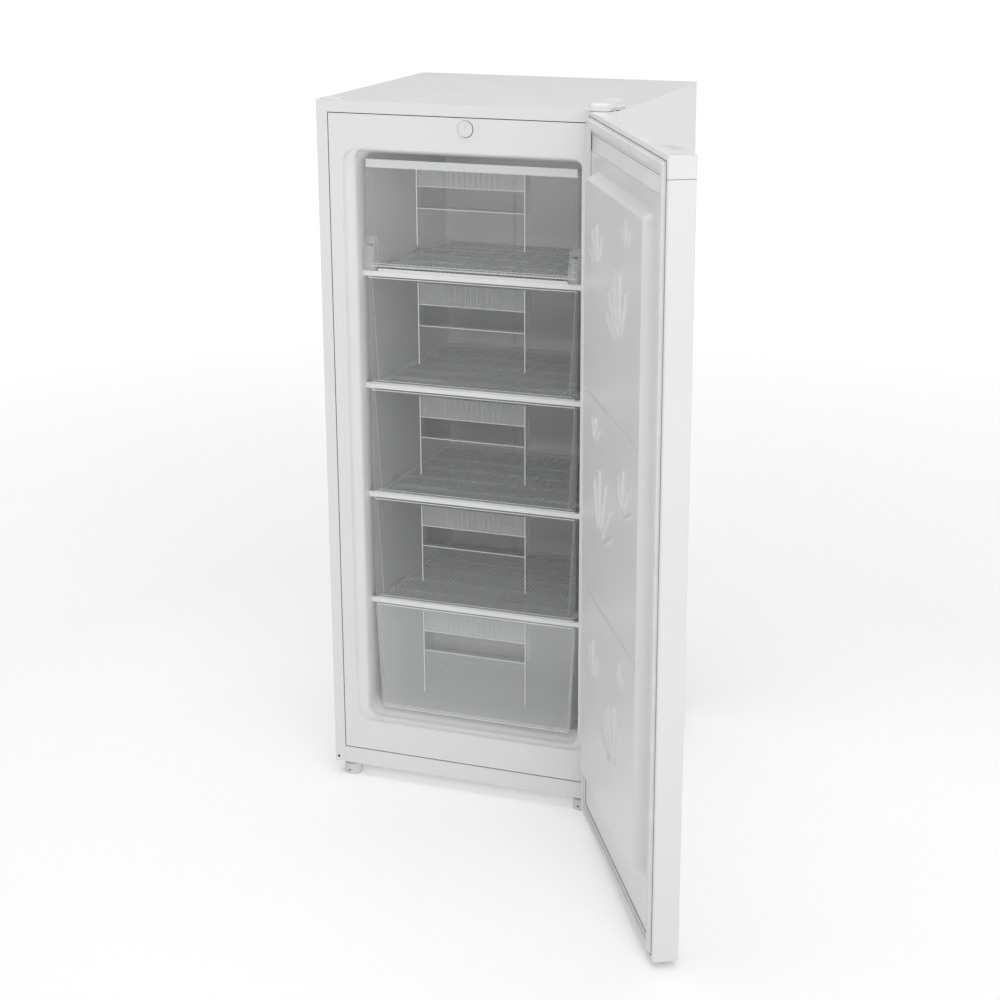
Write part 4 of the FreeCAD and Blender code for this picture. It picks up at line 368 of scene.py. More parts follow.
def roundEdges(piece, width, steps=2, angle=38):
    edges = piece.modifiers.new("rounded edges", "BEVEL")
    edges.width = width * toMetres
    edges.segments = steps
    edges.limit_method = "ANGLE"
    edges.angle_limit = math.radians(angle)
    edges.use_clamp_overlap = True
    edges.harden_normals = True
    # painted highlight: the rounded edge faces of a clear piece take its second finish, the glowing highlight copy
    if len(piece.data.materials) > 1:
        edges.material = 1


def softened(nodeName, width, steps=2, angle=38, sharp=35):
    # a merged copy of a CAD node with small rounded edges, which stands for it
    copy = nodes[nodeName].data.copy()
    cleaned(copy, 2e-6, sharp, 0.6)
    piece = finished(linked(nodeName + ".soft", copy), slotOfNode[nodeName], bodyOfNode[nodeName], (nodeName,))
    if width:
        roundEdges(piece, width, steps, angle)
    return piece


def swungOpen(points):
    # turns points of the closed door about the hinge axis to where the door stands
    turn = math.radians(doorSwing["angle"])
    x, y = points[..., 0], points[..., 1]
    return np.stack([doorSwing["hingeX"] + x * math.cos(turn) - y * math.sin(turn),
                     doorSwing["hingeY"] + x * math.sin(turn) + y * math.cos(turn), points[..., 2]], axis=-1)


def roundedOutline(left, bottom, right, top, radius, steps=8):
    # a rectangle with quarter circles at its corners, as points (x, z) that run once round it from the lower right
    turn = np.linspace(0, math.pi / 2, steps + 1)
    r = np.broadcast_to(np.asarray(radius, float), (4,))
    centres = np.array([[right - r[0], bottom + r[0]], [right - r[1], top - r[1]],
                        [left + r[2], top - r[2]], [left + r[3], bottom + r[3]]])
    quarter = np.arange(4)[:, None] * math.pi / 2 - math.pi / 2 + turn[None, :]
    arcs = centres[:, None, :] + r[:, None, None] * np.stack([np.cos(quarter), np.sin(quarter)], axis=-1)
    return arcs.reshape(-1, 2)


def insetOutline(box, inset, radius, steps=8):
    # the rounded outline of a box (left, low, right, high) drawn in by one distance on all sides
    return roundedOutline(*(np.array(box, float) + np.array([1, 1, -1, -1]) * inset), radius, steps)


def fullTurn(sides):
    # even bearings once round
    return np.linspace(0, 2 * math.pi, sides, endpoint=False)


def circleAt(x, z, radius, sides, start=0):
    # points at even bearings, all one radius away from the middle
    turn = start + fullTurn(sides)
    return np.column_stack([x + radius * np.cos(turn), z + radius * np.sin(turn)])


def ringAt(flat, level, upright=True):
    # an outline at one level: an upright one is (x, z) at a depth, a lying one is (x, y) at a height
    column = np.broadcast_to(level, len(flat))
    return np.column_stack([flat[:, 0], column, flat[:, 1]] if upright else [flat, column])


def addLoop(name, outer, inner, low, high, slotName, body, place=np.asarray, upright=True):
    # a square section between two outlines, each at two levels, carried once round
    rings = [ringAt(flat, level, upright)
             for flat, level in ((outer, low), (inner, low), (inner, high), (outer, high), (outer, low))]
    addPiece(name, [surface(place(np.array(rings)), caps=False)], slotName, body)


def tubeAlong(path, radius, sides=12, steady=(0.31, 0.47, 0.83)):
    # circles carried along a path: each stands square to the path and is turned by one steady vector
    path = np.asarray(path, float)
    ahead = np.gradient(path, axis=0)
    ahead /= np.linalg.norm(ahead, axis=1)[:, None]
    side = np.cross(ahead, np.asarray(steady))
    side /= np.linalg.norm(side, axis=1)[:, None]
    other = np.cross(side, ahead)
    turn = fullTurn(sides)
    ring = side[:, None, :] * np.cos(turn)[None, :, None] + other[:, None, :] * np.sin(turn)[None, :, None]
    return surface(path[:, None, :] + radius * ring)


def bentPath(corners, bend, steps=8):
    # straight runs whose corners are rounded by arcs of one radius
    corners = [np.asarray(corner, float) for corner in corners]
    points = [corners[0]]
    for before, corner, after in zip(corners, corners[1:], corners[2:]):
        back = (before - corner) / np.linalg.norm(before - corner)
        on = (after - corner) / np.linalg.norm(after - corner)
        half = math.acos(float(np.dot(back, on))) / 2
        reach = bend / math.tan(half)
        centre = corner + (back + on) / np.linalg.norm(back + on) * bend / math.sin(half)
        first, last = corner + back * reach - centre, corner + on * reach - centre
        sweep = math.pi - 2 * half
        part = np.linspace(0, 1, steps + 1)[:, None]
        points.extend((centre + (np.sin((1 - part) * sweep) * first + np.sin(part * sweep) * last)
                       / math.sin(sweep)).tolist())
    points.append(corners[-1])
    return np.array([np.asarray(point, float) for point in points])


def serpentinePath(left, right, start, pitch, runs, steps=14):
    # straight runs at an even pitch, joined by half circles: points (along, across)
    points = [(left, start)]
    for k in range(1, runs):
        end, hand = (right, 1) if k % 2 else (left, -1)
        turn = np.linspace(-math.pi / 2, math.pi / 2, steps)
        points.extend(zip(end + hand * pitch / 2 * np.cos(turn),
                          start + (k - 0.5) * pitch + pitch / 2 * np.sin(turn)))
    points.append((left if runs % 2 == 0 else right, start + (runs - 1) * pitch))
    return np.array(points)


def turned(profile, x, y, sides=40):
    # a profile of (radius, height) turned about an upright axis
    profile = np.asarray(profile, float)
    turn = fullTurn(sides)
    points = np.stack([x + profile[:, None, 0] * np.cos(turn)[None, :],
                       y + profile[:, None, 0] * np.sin(turn)[None, :],
                       np.repeat(profile[:, None, 1], sides, axis=1)], axis=-1)
    return surface(points)


# the moulded inner liner

linerSettings = {
    "face": front + 0.2, "plate": (-250.4, 59.2, 250.4, 1243.2), "plateRound": 0.7,
    "mouth": (-229.5, 117.3, 229.5, 1185), "mouthDepth": 20, "mouthCorner": 31, "margin": 0.8,
    "lipRise": 8, "lipDrop": 4.5, "lipDepth": 45.8, "lipCorner": (22, 13, 13, 22),
    "room": (-205, 138, 205, 1172), "roomCorner": 22, "draft": 5, "depth": 407.8,
    "stepDepth": 291.8, "stepTop": 300, "rearRound": 4, "wall": 1.6, "cornerSteps": 10,
    # share of the way in and depth: a rounded step, a sloping ledge, a rounded inner edge
    "mouthProfile": ((0, 0), (0.03, 0.1), (0.07, 0.5), (0.11, 1.2), (0.17, 2.9), (0.24, 5.2), (0.29, 6.5),
                     (0.35, 7.4), (0.42, 7.9), (0.48, 8.2), (0.80, 9.6), (0.86, 10.2), (0.92, 11.6), (0.965, 13.8),
                     (0.99, 16.6), (1.0, 20)),
}


def makeInnerLiner(s):
    # rounded outlines carried inwards: flat face, quarter-round mouth, sloped lip, drafted walls, step, rear wall
    def ring(box, corner, depth, inset=0):
        return ringAt(insetOutline(box, inset, corner, s["cornerSteps"]), s["face"] + depth)

    mouth, room, plate = (np.array(s[key], float) for key in ("mouth", "room", "plate"))
    lip = room.copy()
    lip[1], lip[3] = mouth[1] + s["lipRise"], mouth[3] - s["lipDrop"]
    corners, lipCorners = np.full(4, s["roomCorner"]), np.array(s["lipCorner"])
    rings = []
    for turn in np.linspace(0, math.pi / 2, 4):
        rings.append(ring(plate, 0.5 + 0.2 * turn, s["plateRound"] * (1 - math.sin(turn)),
                          s["plateRound"] * (1 - math.cos(turn))))
    rings.append(ring(plate, 0.9, 0, s["plateRound"] + 0.6))
    rings.append(ring(mouth, s["mouthCorner"] + s["margin"], 0, -s["margin"]))
    for inward, depth in s["mouthProfile"]:
        rings.append(ring(mouth + (lip - mouth) * inward,
                          s["mouthCorner"] + (lipCorners - s["mouthCorner"]) * inward, depth))

    def walls(depth, low, lifted=0):
        box = room + np.array([1, 0, -1, -1]) * s["draft"] * depth / s["depth"]
        box[1] = low
        box[3] += (lip[3] - room[3]) * lifted
        return ring(box, corners + (lipCorners - corners) * lifted, depth)

    start, end, floor = s["mouthDepth"], s["lipDepth"], room[1]
    for part in (0.06, 0.94, 1.0):
        rings.append(walls(start + (end - start) * part, lip[1] + (floor - lip[1]) * part, 1 - part))
    rings.append(walls(end + 1.5, floor))
    step, top, depth = s["stepDepth"], s["stepTop"], s["depth"]
    for at, low in ((step - 2, floor), (step, floor), (step, floor + 1), (step, top - 1), (step, top),
                    (step + 1, top), (depth - s["rearRound"], top)):
        rings.append(walls(at, low))
    for turn in np.linspace(0, math.pi / 2, 5)[1:]:
        box = room + np.array([1, 0, -1, -1]) * s["draft"]
        box[1] = top
        inset = s["rearRound"] * (1 - math.cos(turn))
        rings.append(ring(box, s["roomCorner"] - inset, depth - s["rearRound"] * (1 - math.sin(turn)), inset))
    points, faces = surface(np.array(rings), caps=False)
    cols = len(rings[0])
    faces.append(list(range((len(rings) - 1) * cols, len(rings) * cols)))
    piece = addPiece("inner_liner.skin", [(points, faces)], "liner_plastic", "cabinet", ("inner_liner",), sharp=40)
    plate = max(piece.data.polygons, key=lambda face: -face.center.y)
    if plate.normal.y > 0:
        piece.data.flip_normals()  # an open bowl can come out either way: its plate faces the front
    sheet = piece.modifiers.new("wall", "SOLIDIFY")
    sheet.thickness = s["wall"] * toMetres
    sheet.offset = -1


makeInnerLiner(linerSettings)

foamSettings = {"side": 227, "low": 117.5, "high": 1184, "level": -225, "lift": 8.5, "liftFrom": 1140, "liftOver": 30,
                "liftFront": -200, "spread": 2.5}


def makeFoam(s):
    # the CAD foam, whose points round the mouth are set back behind the liner's ledge
    piece = softened("cabinet_foam", 0)
    flat = np.empty(len(piece.data.vertices) * 3)
    piece.data.vertices.foreach_get("co", flat)
    points = flat.reshape(-1, 3)
    x, y, z = (points / toMetres).T
    inside = (np.abs(x) < s["side"]) & (z > s["low"]) & (z < s["high"]) & (y < s["level"])
    points[inside, 1] = s["level"] * toMetres
    share = np.clip((z - s["liftFrom"]) / s["liftOver"], 0, 1) * ((np.abs(x) < s["side"]) & (y < s["liftFront"])
                                                                  & (z < s["high"]))
    points[:, 2] += s["lift"] * share * toMetres
    points[:, 0] += s["spread"] * share * np.sign(x) * toMetres
    piece.data.vertices.foreach_set("co", points.ravel())
    piece.data.update()


makeFoam(foamSettings)

seamSettings = {"outline": (-251.15, 58.45, 251.15, 1243.95), "width": 1.6, "face": front + 0.4, "depth": 1.2}


# painted shade: a dark strip under the joint between the liner, the flanges and the sill stands for the shade in the
# joint and reads as a thin dark line
addLoop("liner_seam.painted_shade", insetOutline(seamSettings["outline"], 0, 0.3, 1),
        insetOutline(seamSettings["outline"], seamSettings["width"], 0.3, 1),
        seamSettings["face"], seamSettings["face"] + seamSettings["depth"], "black_plastic", "cabinet")

ledgeSettings = {"tops": (958.3, 754.3, 550.3, 346.3), "height": 8.8, "reach": 196.4, "root": 202.5,
                 "start": front + 46, "end": front + 400}


def makeLedges(s):
    # low shelves moulded into both side walls, one pair under every evaporator shelf
    parts = []
    for top in s["tops"]:
        for hand in (-1, 1):
            wide = np.array([s["reach"], s["root"]]) * hand
            profile = roundedOutline(min(wide), top - s["height"], max(wide), top, 1.8, 3)
            parts.append(surface(np.stack([ringAt(profile, end) for end in (s["start"], s["end"])])))
    addPiece("liner_ledges", parts, "liner_plastic", "cabinet")


makeLedges(ledgeSettings)
print("liner made")

# the evaporator shelves: tube and wires

shelfSettings = {
    "tops": (967, 763, 559, 355), "first": front + 38, "pitch": 62, "runs": 6, "reach": 199,
    "tubeRadius": 3.5, "wireRadius": 0.8, "wirePitch": 8.5, "wires": 43, "tubeSides": 12, "wireSides": 6,
}


def makeShelf(number, top, s):
    # a round tube along a serpentine and a row of fine wires laid across it
    side = s["reach"] - s["tubeRadius"] - s["pitch"] / 2
    flat = serpentinePath(-side, side, s["first"], s["pitch"], s["runs"])
    level = top - 2 * s["wireRadius"] - s["tubeRadius"]
    tube = tubeAlong(ringAt(flat, level, False), s["tubeRadius"], s["tubeSides"], (0, 0, 1))
    # the tube takes the darker copy of the coat, painted shade
    addPiece(f"evaporator_shelf_{number}.tube", [tube], "evaporator_tube", "cabinet", (f"evaporator_shelf_{number}",),
             sharp=50, main="tubeShadedCoat")
    parts = []
    start, end = s["first"] + 0.6, s["first"] + (s["runs"] - 1) * s["pitch"] + s["tubeRadius"]
    for x in (np.arange(s["wires"]) - (s["wires"] - 1) / 2) * s["wirePitch"]:
        run = np.array([[x, start, top - s["wireRadius"]], [x, end, top - s["wireRadius"]]])
        parts.append(tubeAlong(run, s["wireRadius"], s["wireSides"], (0, 0, 1)))
    addPiece(f"evaporator_shelf_{number}.wires", parts, "evaporator_tube", "cabinet", sharp=50)


for number, top in enumerate(shelfSettings["tops"], start=1):
    makeShelf(number, top, shelfSettings)

riserSettings = {"back": front + 408 - 3.1, "side": -60, "low": 300.5, "high": 1100, "end": 199.5,
                 "radius": 3, "bend": 18}


def makeRiser(s):
    # one round pipe up the rear wall and across to the side
    path = bentPath([(s["side"], s["back"], s["low"]), (s["side"], s["back"], s["high"]),
                     (s["end"], s["back"], s["high"])], s["bend"])
    addPiece("evaporator_riser.pipe", [tubeAlong(path, s["radius"], 14)], "evaporator_tube", "cabinet",
             ("evaporator_riser",), sharp=50)


makeRiser(riserSettings)
print("shelves made")

# the clear drawers, the flap and the trims

edgeRounding = {"drawer": 0.5, "trim": 0.4, "bracket": 0.6, "cap": 0.8, "steel": 0.4}
for number in range(1, 5):
    for nodeName in (f"drawer_front_{number}", f"drawer_box_{number}"):
        tray = softened(nodeName, edgeRounding["drawer"])
        if number == 4:
            tray.data.materials[0] = finishes["clearLitGlow"]  # painted light: a lighter, glowing copy of the clear finish, as if more light reached the lowest drawer; it reads lighter than the others
    softened(f"shelf_trim_{number}", edgeRounding["trim"])
softened("flap", edgeRounding["drawer"])

# painted highlights: thin tubes in lighter copies of the clear finish, laid along the ribs, flutes and edges of a
# clear front, stand for the fine bright lines where these catch the light; rim, foot and footLine say how far above
# the front's upper or lower edge such a tube lies, and its radius
frontSettings = {
    "face": front + 30, "half": 194, "gripHalf": 98.5, "ribFoot": 42, "ribRadius": 0.95, "ribProud": 1.1,
    "fluteSpan": 50, "flutes": 11, "fluteRadius": 0.6, "fluteProud": 0.9, "rimProud": 1.9, "rimInset": 2.2,
    "rim": (-0.9, 0.9), "foot": (1.2, 1.1), "footLine": (5.2, 0.6), "footInset": 4, "bandThick": 1.3,
    "bandPower": 0.35,
    "band": 43, "window": 38, "edgeRadius": 0.7, "sides": 8,
    "fronts": ((1, 763.45, 955.5, 0), (2, 559.45, 751.5, 0), (3, 355.45, 547.5, 0), (4, 138.3, 343.5, 9)),
    "rail": 5, "flapLow": 975, "flapHigh": 1163, "flapRail": 14, "flapBand": 14,
}


def makeFrontLines(name, body, low, top, rail, narrow, s):
    # straight tubes of painted highlight: two ribs, the window's two edges, the rim's inner edge and the lower edge,
    # and a thin milky band with a row of flutes above the window, whose lighter copy of the clear finish is partly
    # painted sheen
    face, grip, sides = s["face"], s["gripHalf"] + 0.8, s["sides"]
    window, wide, crest = top - s["band"], s["half"] - s["rimInset"], face - s["ribProud"]
    runs = [((hand * grip, crest, low + s["ribFoot"]), (hand * grip, crest, top - rail), s["ribRadius"])
            for hand in (-1, 1)]
    fluteY, rimY = face - s["fluteProud"], face - s["rimProud"]
    flutes = [tubeAlong(np.linspace((x, fluteY, window + 1), (x, fluteY, top - rail - 1), 3),
                        s["fluteRadius"], sides) for x in np.linspace(-s["fluteSpan"], s["fluteSpan"], s["flutes"])]
    slab = roundedOutline(-grip, window, grip, top - rail - 0.5, 1, 2)
    band = np.stack([ringAt(slab, level) for level in (face - 0.5, face - 0.15)])
    addPiece(name.replace("beads", "grip_band"), flutes + [surface(band)], "clear_plastic", body, main="clearGripSheen")
    runs += [((-grip, face - 0.2, level), (grip, face - 0.2, level), s["edgeRadius"])
             for level in (window, window - s["window"])]
    below = wide - narrow
    for reach, y, edge, (up, radius) in ((wide, rimY, top, s["rim"]), (below, rimY, low, s["foot"]),
                                         (below - s["footInset"], face - 0.4, low, s["footLine"])):
        runs.append(((-reach, y, edge + up), (reach, y, edge + up), radius))
    parts = [tubeAlong(np.linspace(start, end, 3), radius, sides) for start, end, radius in runs]
    addPiece(name, parts, "clear_plastic", body, main="clearPaintedHighlight")


for number, low, top, narrow in frontSettings["fronts"]:
    makeFrontLines(f"drawer_front_{number}.beads", f"drawer_{number}", low, top, frontSettings["rail"], narrow,
                   frontSettings)
makeFrontLines("flap.beads", "flap", frontSettings["flapLow"], frontSettings["flapHigh"],
               frontSettings["flapRail"], 0, frontSettings)


def makeFlapBand(s):
    # the thick upper band of the flap: a flat oval profile carried from side to side, in a milky copy of the clear
    # finish whose glow is painted light
    turn = fullTurn(32)
    tall, across = s["flapBand"] / 2, np.array([-s["half"] + 0.4, s["half"] - 0.4])
    back, up = (np.sign(part) * np.abs(part) ** s["bandPower"] for part in (np.sin(turn), np.cos(turn)))
    y = s["face"] - 1.0 - s["bandThick"] * back
    z = s["flapHigh"] - 0.6 - tall + tall * up
    points = np.stack([np.column_stack([np.full(len(turn), x), y, z]) for x in across])
    addPiece("flap.band", [surface(points)], "clear_plastic", "flap", main="clearBandGlow")


makeFlapBand(frontSettings)
# painted light: the flap's brackets take the lighter, glowing copy of the clear finish as well
for nodeName in ("flap_bracket_left", "flap_bracket_right"):
    softened(nodeName, edgeRounding["bracket"]).data.materials[0] = finishes["clearLitGlow"]
for nodeName in ("thermostat_bezel", "hinge_hole_cap", "door_top_cap", "door_bottom_cap", "door_hole_plug"):
    softened(nodeName, edgeRounding["cap"] if "bezel" not in nodeName else 0.25, 3)
for nodeName in ("upper_hinge_bracket", "lower_hinge_bracket"):
    softened(nodeName, edgeRounding["steel"])

coverSettings = {"outline": (231.9, -279.5, 271, -186), "low": 1265.1, "overDoor": 3.1,
                 "high": 1281, "corner": 15, "rounding": 5.5, "crown": 0.6, "edge": front}


def makeHingeCover(s):
    # a rounded outline raised to a shoulder, then drawn in along a quarter ellipse and closed by a low crown
    def ring(inset, level):
        return ringAt(insetOutline(s["outline"], inset, max(s["corner"] - inset, 2), 10), level, False)

    foot = ring(0, s["low"])
    foot[:, 2] += s["overDoor"] * np.clip(s["edge"] - foot[:, 1], 0, 1)
    shoulder = s["high"] - s["crown"] - s["rounding"]
    rings = [foot, ring(0, s["low"] + s["overDoor"] + 0.5), ring(0, shoulder)]
    rings += [ring(s["rounding"] * (1 - math.cos(turn)), shoulder + s["rounding"] * math.sin(turn))
              for turn in np.linspace(0, math.pi / 2, 9)[1:]]
    rings += [ring(s["rounding"] + reach, s["high"] - s["crown"] * (1 - math.sqrt(reach / 12)))
              for reach in (3, 7, 12)]
    addPiece("upper_hinge_cover.shell", [surface(np.array(rings))], "cap_plastic", "cabinet",
             ("upper_hinge_cover",), sharp=40)


makeHingeCover(coverSettings)

# the fine open joint between the door's top cap and its skin: a thin dark band round the door, painted shade of the
# joint
capSeamSettings = {"outline": (-523.4, -22.6, 17.6, 19.6), "proud": 0.06, "sunk": 0.4,
                   "low": 1233.65, "high": 1234.35}
addLoop("door_skin.cap_seam_shade", insetOutline(capSeamSettings["outline"], -capSeamSettings["proud"], 3, 4),
        insetOutline(capSeamSettings["outline"], capSeamSettings["sunk"], 3, 4), capSeamSettings["low"],
        capSeamSettings["high"], "black_plastic", "door", swungOpen, False)
print("drawers, flap and trims softened")

# the thermostat knob

knobSettings = {"x": 4, "z": 1225, "radius": 13.5, "face": front - 3, "back": front - 0.6, "edge": 1.1,
                "slotHalf": (1.6, 7.6), "slotDepth": 1.3, "ring": 10.4, "ringDepth": 0.7, "sides": 96}


def makeKnob(s):
    # rings on a disc: depth falls at the rim as a quarter circle, in the slot as a ramp and in a fine ring groove
    radius = s["radius"]
    part = np.concatenate([np.linspace(0.02, 0.9, 64), np.linspace(0.915, 1, 10)])
    turn = fullTurn(s["sides"])
    r = radius * part[:, None] * np.ones_like(turn)[None, :]
    x, z = r * np.cos(turn), r * np.sin(turn)
    rim = np.clip((r - (radius - s["edge"])) / s["edge"], 0, 1)
    y = s["face"] + s["edge"] * (1 - np.sqrt(1 - rim ** 2))
    inside = np.minimum(s["slotHalf"][0] - np.abs(x), s["slotHalf"][1] - np.abs(z))
    y = y + s["slotDepth"] * np.clip(inside / 0.5, 0, 1)
    y = y + s["ringDepth"] * np.clip(1 - np.abs(r - s["ring"]) / 0.6, 0, 1)
    top = np.stack([s["x"] + x, y, s["z"] + z], axis=-1)
    back = top[-1:].copy()
    back[..., 1] = s["back"]
    addPiece("thermostat_knob.disc", [surface(np.concatenate([top, back]))], "knob_plastic", "knob",
             ("thermostat_knob",), sharp=32)


makeKnob(knobSettings)


# painted shadow: a dark ring between the knob and its plate, set a little low and to the right where the knob's
# shadow falls
knobShadowSettings = {"x": 4.35, "z": 1224.6, "radii": (12.6, 14.15), "low": front - 0.7, "high": front - 0.3}
knobShadowRings = [circleAt(knobShadowSettings["x"], knobShadowSettings["z"], radius, 72) for radius in knobShadowSettings["radii"]]
addLoop("thermostat_bezel.knob_shadow", *knobShadowRings, knobShadowSettings["low"], knobShadowSettings["high"], "black_plastic", "cabinet")

# a small dark disc let into the foot of the left flange, where a screw hole stays open: painted shade of the hole
holeSettings = {"x": -265.4, "z": 35.5, "radius": 2.6, "levels": (front + 0.15, front - 0.04), "sides": 20}
holeRing = circleAt(holeSettings["x"], holeSettings["z"], holeSettings["radius"], holeSettings["sides"])
holeDisc = np.stack([ringAt(holeRing, level) for level in holeSettings["levels"]])
addPiece("outer_shell.flange_hole_shade", [surface(holeDisc)], "black_plastic", "cabinet")

# the door liner, worked out as a height over its flat side

doorLinerSettings = {
    "left": -511.1, "right": 5.3, "low": 29.4, "high": 1205.9, "flat": 19.6, "wall": 2.4,
    "middle": -252.9, "foot": (212, 118, 1180), "corner": 26, "slope": 12.5, "rise": 18.4,
    "grooves": (481, 823), "grooveHalf": 3.2, "grooveDepth": 2.4, "grooveReach": 190,
    "bladeHeight": 3.2, "bladeWidth": 9, "fans": ((-60, -65, 118, 5, 22), (95, 30, 74, 4, 30), (-105, 95, 50, 3, 34)),
    "lean": -24, "edgeBand": 18, "edgeStep": 1.8, "step": 2.7,
}


def denseLines(low, high, edges, fine, coarse):
    # positions between two limits, close together near the listed edges and wide apart elsewhere
    marks = [low, high]
    for start, end in edges:
        marks.extend(np.arange(start, end, fine))
    marks = np.unique(np.round(marks, 3))
    gaps = np.diff(marks)
    lines = [np.linspace(a, b, max(int(math.ceil(gap / coarse)), 1), endpoint=False)
             for a, b, gap in zip(marks[:-1], marks[1:], gaps)]
    return np.append(np.concatenate(lines), high)


def bladeFans(s):
    # slender blades (x, z, length, width, lean) of the embossed fans, which are repeated in each third of the door
    blades = []
    for low, high, hand in zip((s["foot"][1], *s["grooves"]), (*s["grooves"], s["foot"][2]), (1, -1, 1)):
        for side, lift, longest, count, opening in s["fans"]:
            rootX, rootZ = s["middle"] + hand * side, (low + high) / 2 + lift
            for step in range(count):
                lean = math.radians(s["lean"] + opening * step) * hand
                length = longest * (1 - 0.11 * abs(step - 1.5))
                reach = longest * 0.22 + length / 2
                blades.append((rootX + reach * math.sin(lean), rootZ + reach * math.cos(lean), length,
                               s["bladeWidth"] * (0.5 + longest / 236), lean))
    return blades


def makeDoorLiner(s):
    # height = flat side + smooth ramp of the distance inside a rounded rectangle - grooves + lens-shaped blades
    half, low, high = s["foot"]
    band = s["edgeBand"]
    x = denseLines(s["left"], s["right"], [(s["middle"] - half - 1, s["middle"] - half + band),
                                          (s["middle"] + half - band, s["middle"] + half + 1)],
                   s["edgeStep"], s["step"])
    z = denseLines(s["low"], s["high"], [(low - 1, low + band), (high - band, high + 1)]
                   + [(level - 3, level + 3) for level in s["grooves"]], s["edgeStep"], s["step"])
    gridX, gridZ = np.meshgrid(x, z)
    acrossX = np.abs(gridX - s["middle"]) - (half - s["corner"])
    acrossZ = np.abs(gridZ - (low + high) / 2) - ((high - low) / 2 - s["corner"])
    outside = np.hypot(np.maximum(acrossX, 0), np.maximum(acrossZ, 0)) + np.minimum(np.maximum(acrossX, acrossZ), 0)
    inside = np.clip((s["corner"] - outside) / s["slope"], 0, 1)
    height = s["flat"] + s["rise"] * inside * inside * (3 - 2 * inside)
    for level in s["grooves"]:
        dip = np.clip(1 - np.abs(gridZ - level) / s["grooveHalf"], 0, 1)
        reach = np.clip((s["grooveReach"] - np.abs(gridX - s["middle"])) / 3, 0, 1)
        height -= s["grooveDepth"] * np.sin(dip * math.pi / 2) * reach
    crown = np.zeros_like(height)
    for x0, z0, length, width, lean in bladeFans(s):
        along = (gridX - x0) * math.sin(lean) + (gridZ - z0) * math.cos(lean)
        across = (gridX - x0) * math.cos(lean) - (gridZ - z0) * math.sin(lean)
        room = np.clip(1 - (2 * along / length) ** 2, 0, 1) * width / 2
        dome = np.clip(1 - (across / np.maximum(room, 0.4)) ** 2, 0, 1) * np.clip(room / 2, 0, 1)
        crown = np.maximum(crown, np.sqrt(dome))
    height += s["bladeHeight"] * crown
    top = np.stack([gridX, height, gridZ], axis=-1)
    rows, cols = gridX.shape
    index = np.arange(rows * cols).reshape(rows, cols)
    border = np.concatenate([index[0, :-1], index[:-1, -1], index[-1, :0:-1], index[:0:-1, 0]])
    points = top.reshape(-1, 3)
    back = points[border].copy()
    back[:, 1] = s["flat"] - s["wall"]
    faces = gridFaces(rows, cols, False).tolist()
    count, total = len(border), len(points)
    k = np.arange(count)
    faces += np.stack([border, total + k, total + (k + 1) % count, np.roll(border, -1)], axis=-1).tolist()
    faces.append((total + k[::-1]).tolist())
    placed = swungOpen(np.concatenate([points, back]))
    # the panel takes the darker copy of the liner finish, painted shade
    addPiece("door_liner.panel", [(placed, faces)], "liner_plastic", "door", ("door_liner",), sharp=60,
             main="doorShadedStyrene")


makeDoorLiner(doorLinerSettings)

# the door gasket

gasketSettings = {"outline": (-523.4, 11.3, 17.6, 1267.4), "inset": 9, "flat": 19.6,
                  "profile": ((0, 0), (0, 1.3), (0.5, 1.6), (2.4, 1.7), (3.2, 2.6), (3.2, 4.6), (3.9, 5.4),
                              (5.2, 5.8), (12.8, 5.8), (14.2, 5.4), (14.9, 4.6), (14.9, 2.6), (15.7, 1.7),
                              (19.4, 1.6), (20, 1.2), (20, 0)),
                  "corner": 8, "grooves": (("outer", 8.0), ("inner", 28.6)), "grooveWidth": 1.3}


def makeGasket(s):
    # a profile of (inset, height) carried once round the door's edge, with rounded corners
    rings = [ringAt(insetOutline(s["outline"], s["inset"] + inset, max(s["corner"] - inset * 0.28, 1)),
                    s["flat"] + height) for inset, height in s["profile"]]
    loop = swungOpen(np.array(rings + rings[:1]))
    addPiece("door_gasket.strip", [surface(loop, caps=False)], "gasket_rubber", "door", ("door_gasket",), sharp=50)
    # the shadow of the groove that the gasket is pressed into, on each of its sides
    for side, inset in s["grooves"]:
        edges = [insetOutline(s["outline"], inset + width, 0.3, 1) for width in (0, s["grooveWidth"])]
        addLoop(f"door_gasket.{side}_groove", *edges, s["flat"] - 0.3, s["flat"] + 0.25, "black_plastic", "door",
                swungOpen)


makeGasket(gasketSettings)
print("door made")

# the levelling feet

footSettings = {"places": ((-243, "front_foot_left", "foot_left"), (213, "front_foot_right", "foot_right")),
                "y": front + 17.5, "drum": ((0.01, 0), (14.8, 0), (16.0, 0.8), (16.4, 2.2), (16.45, 19.5),
                                            (16.0, 21.2), (14.8, 22), (8.6, 22.2), (8.4, 22.4)),
                "stud": 3.95, "neck": 7.0, "shoulder": 22.4, "top": 26.2, "end": 44.3, "holes": (25, 145, 265),
                "holeRadius": 1.9, "holeLevel": 9, "holeSpot": 16.1, "thread": (1.25, 0.35)}


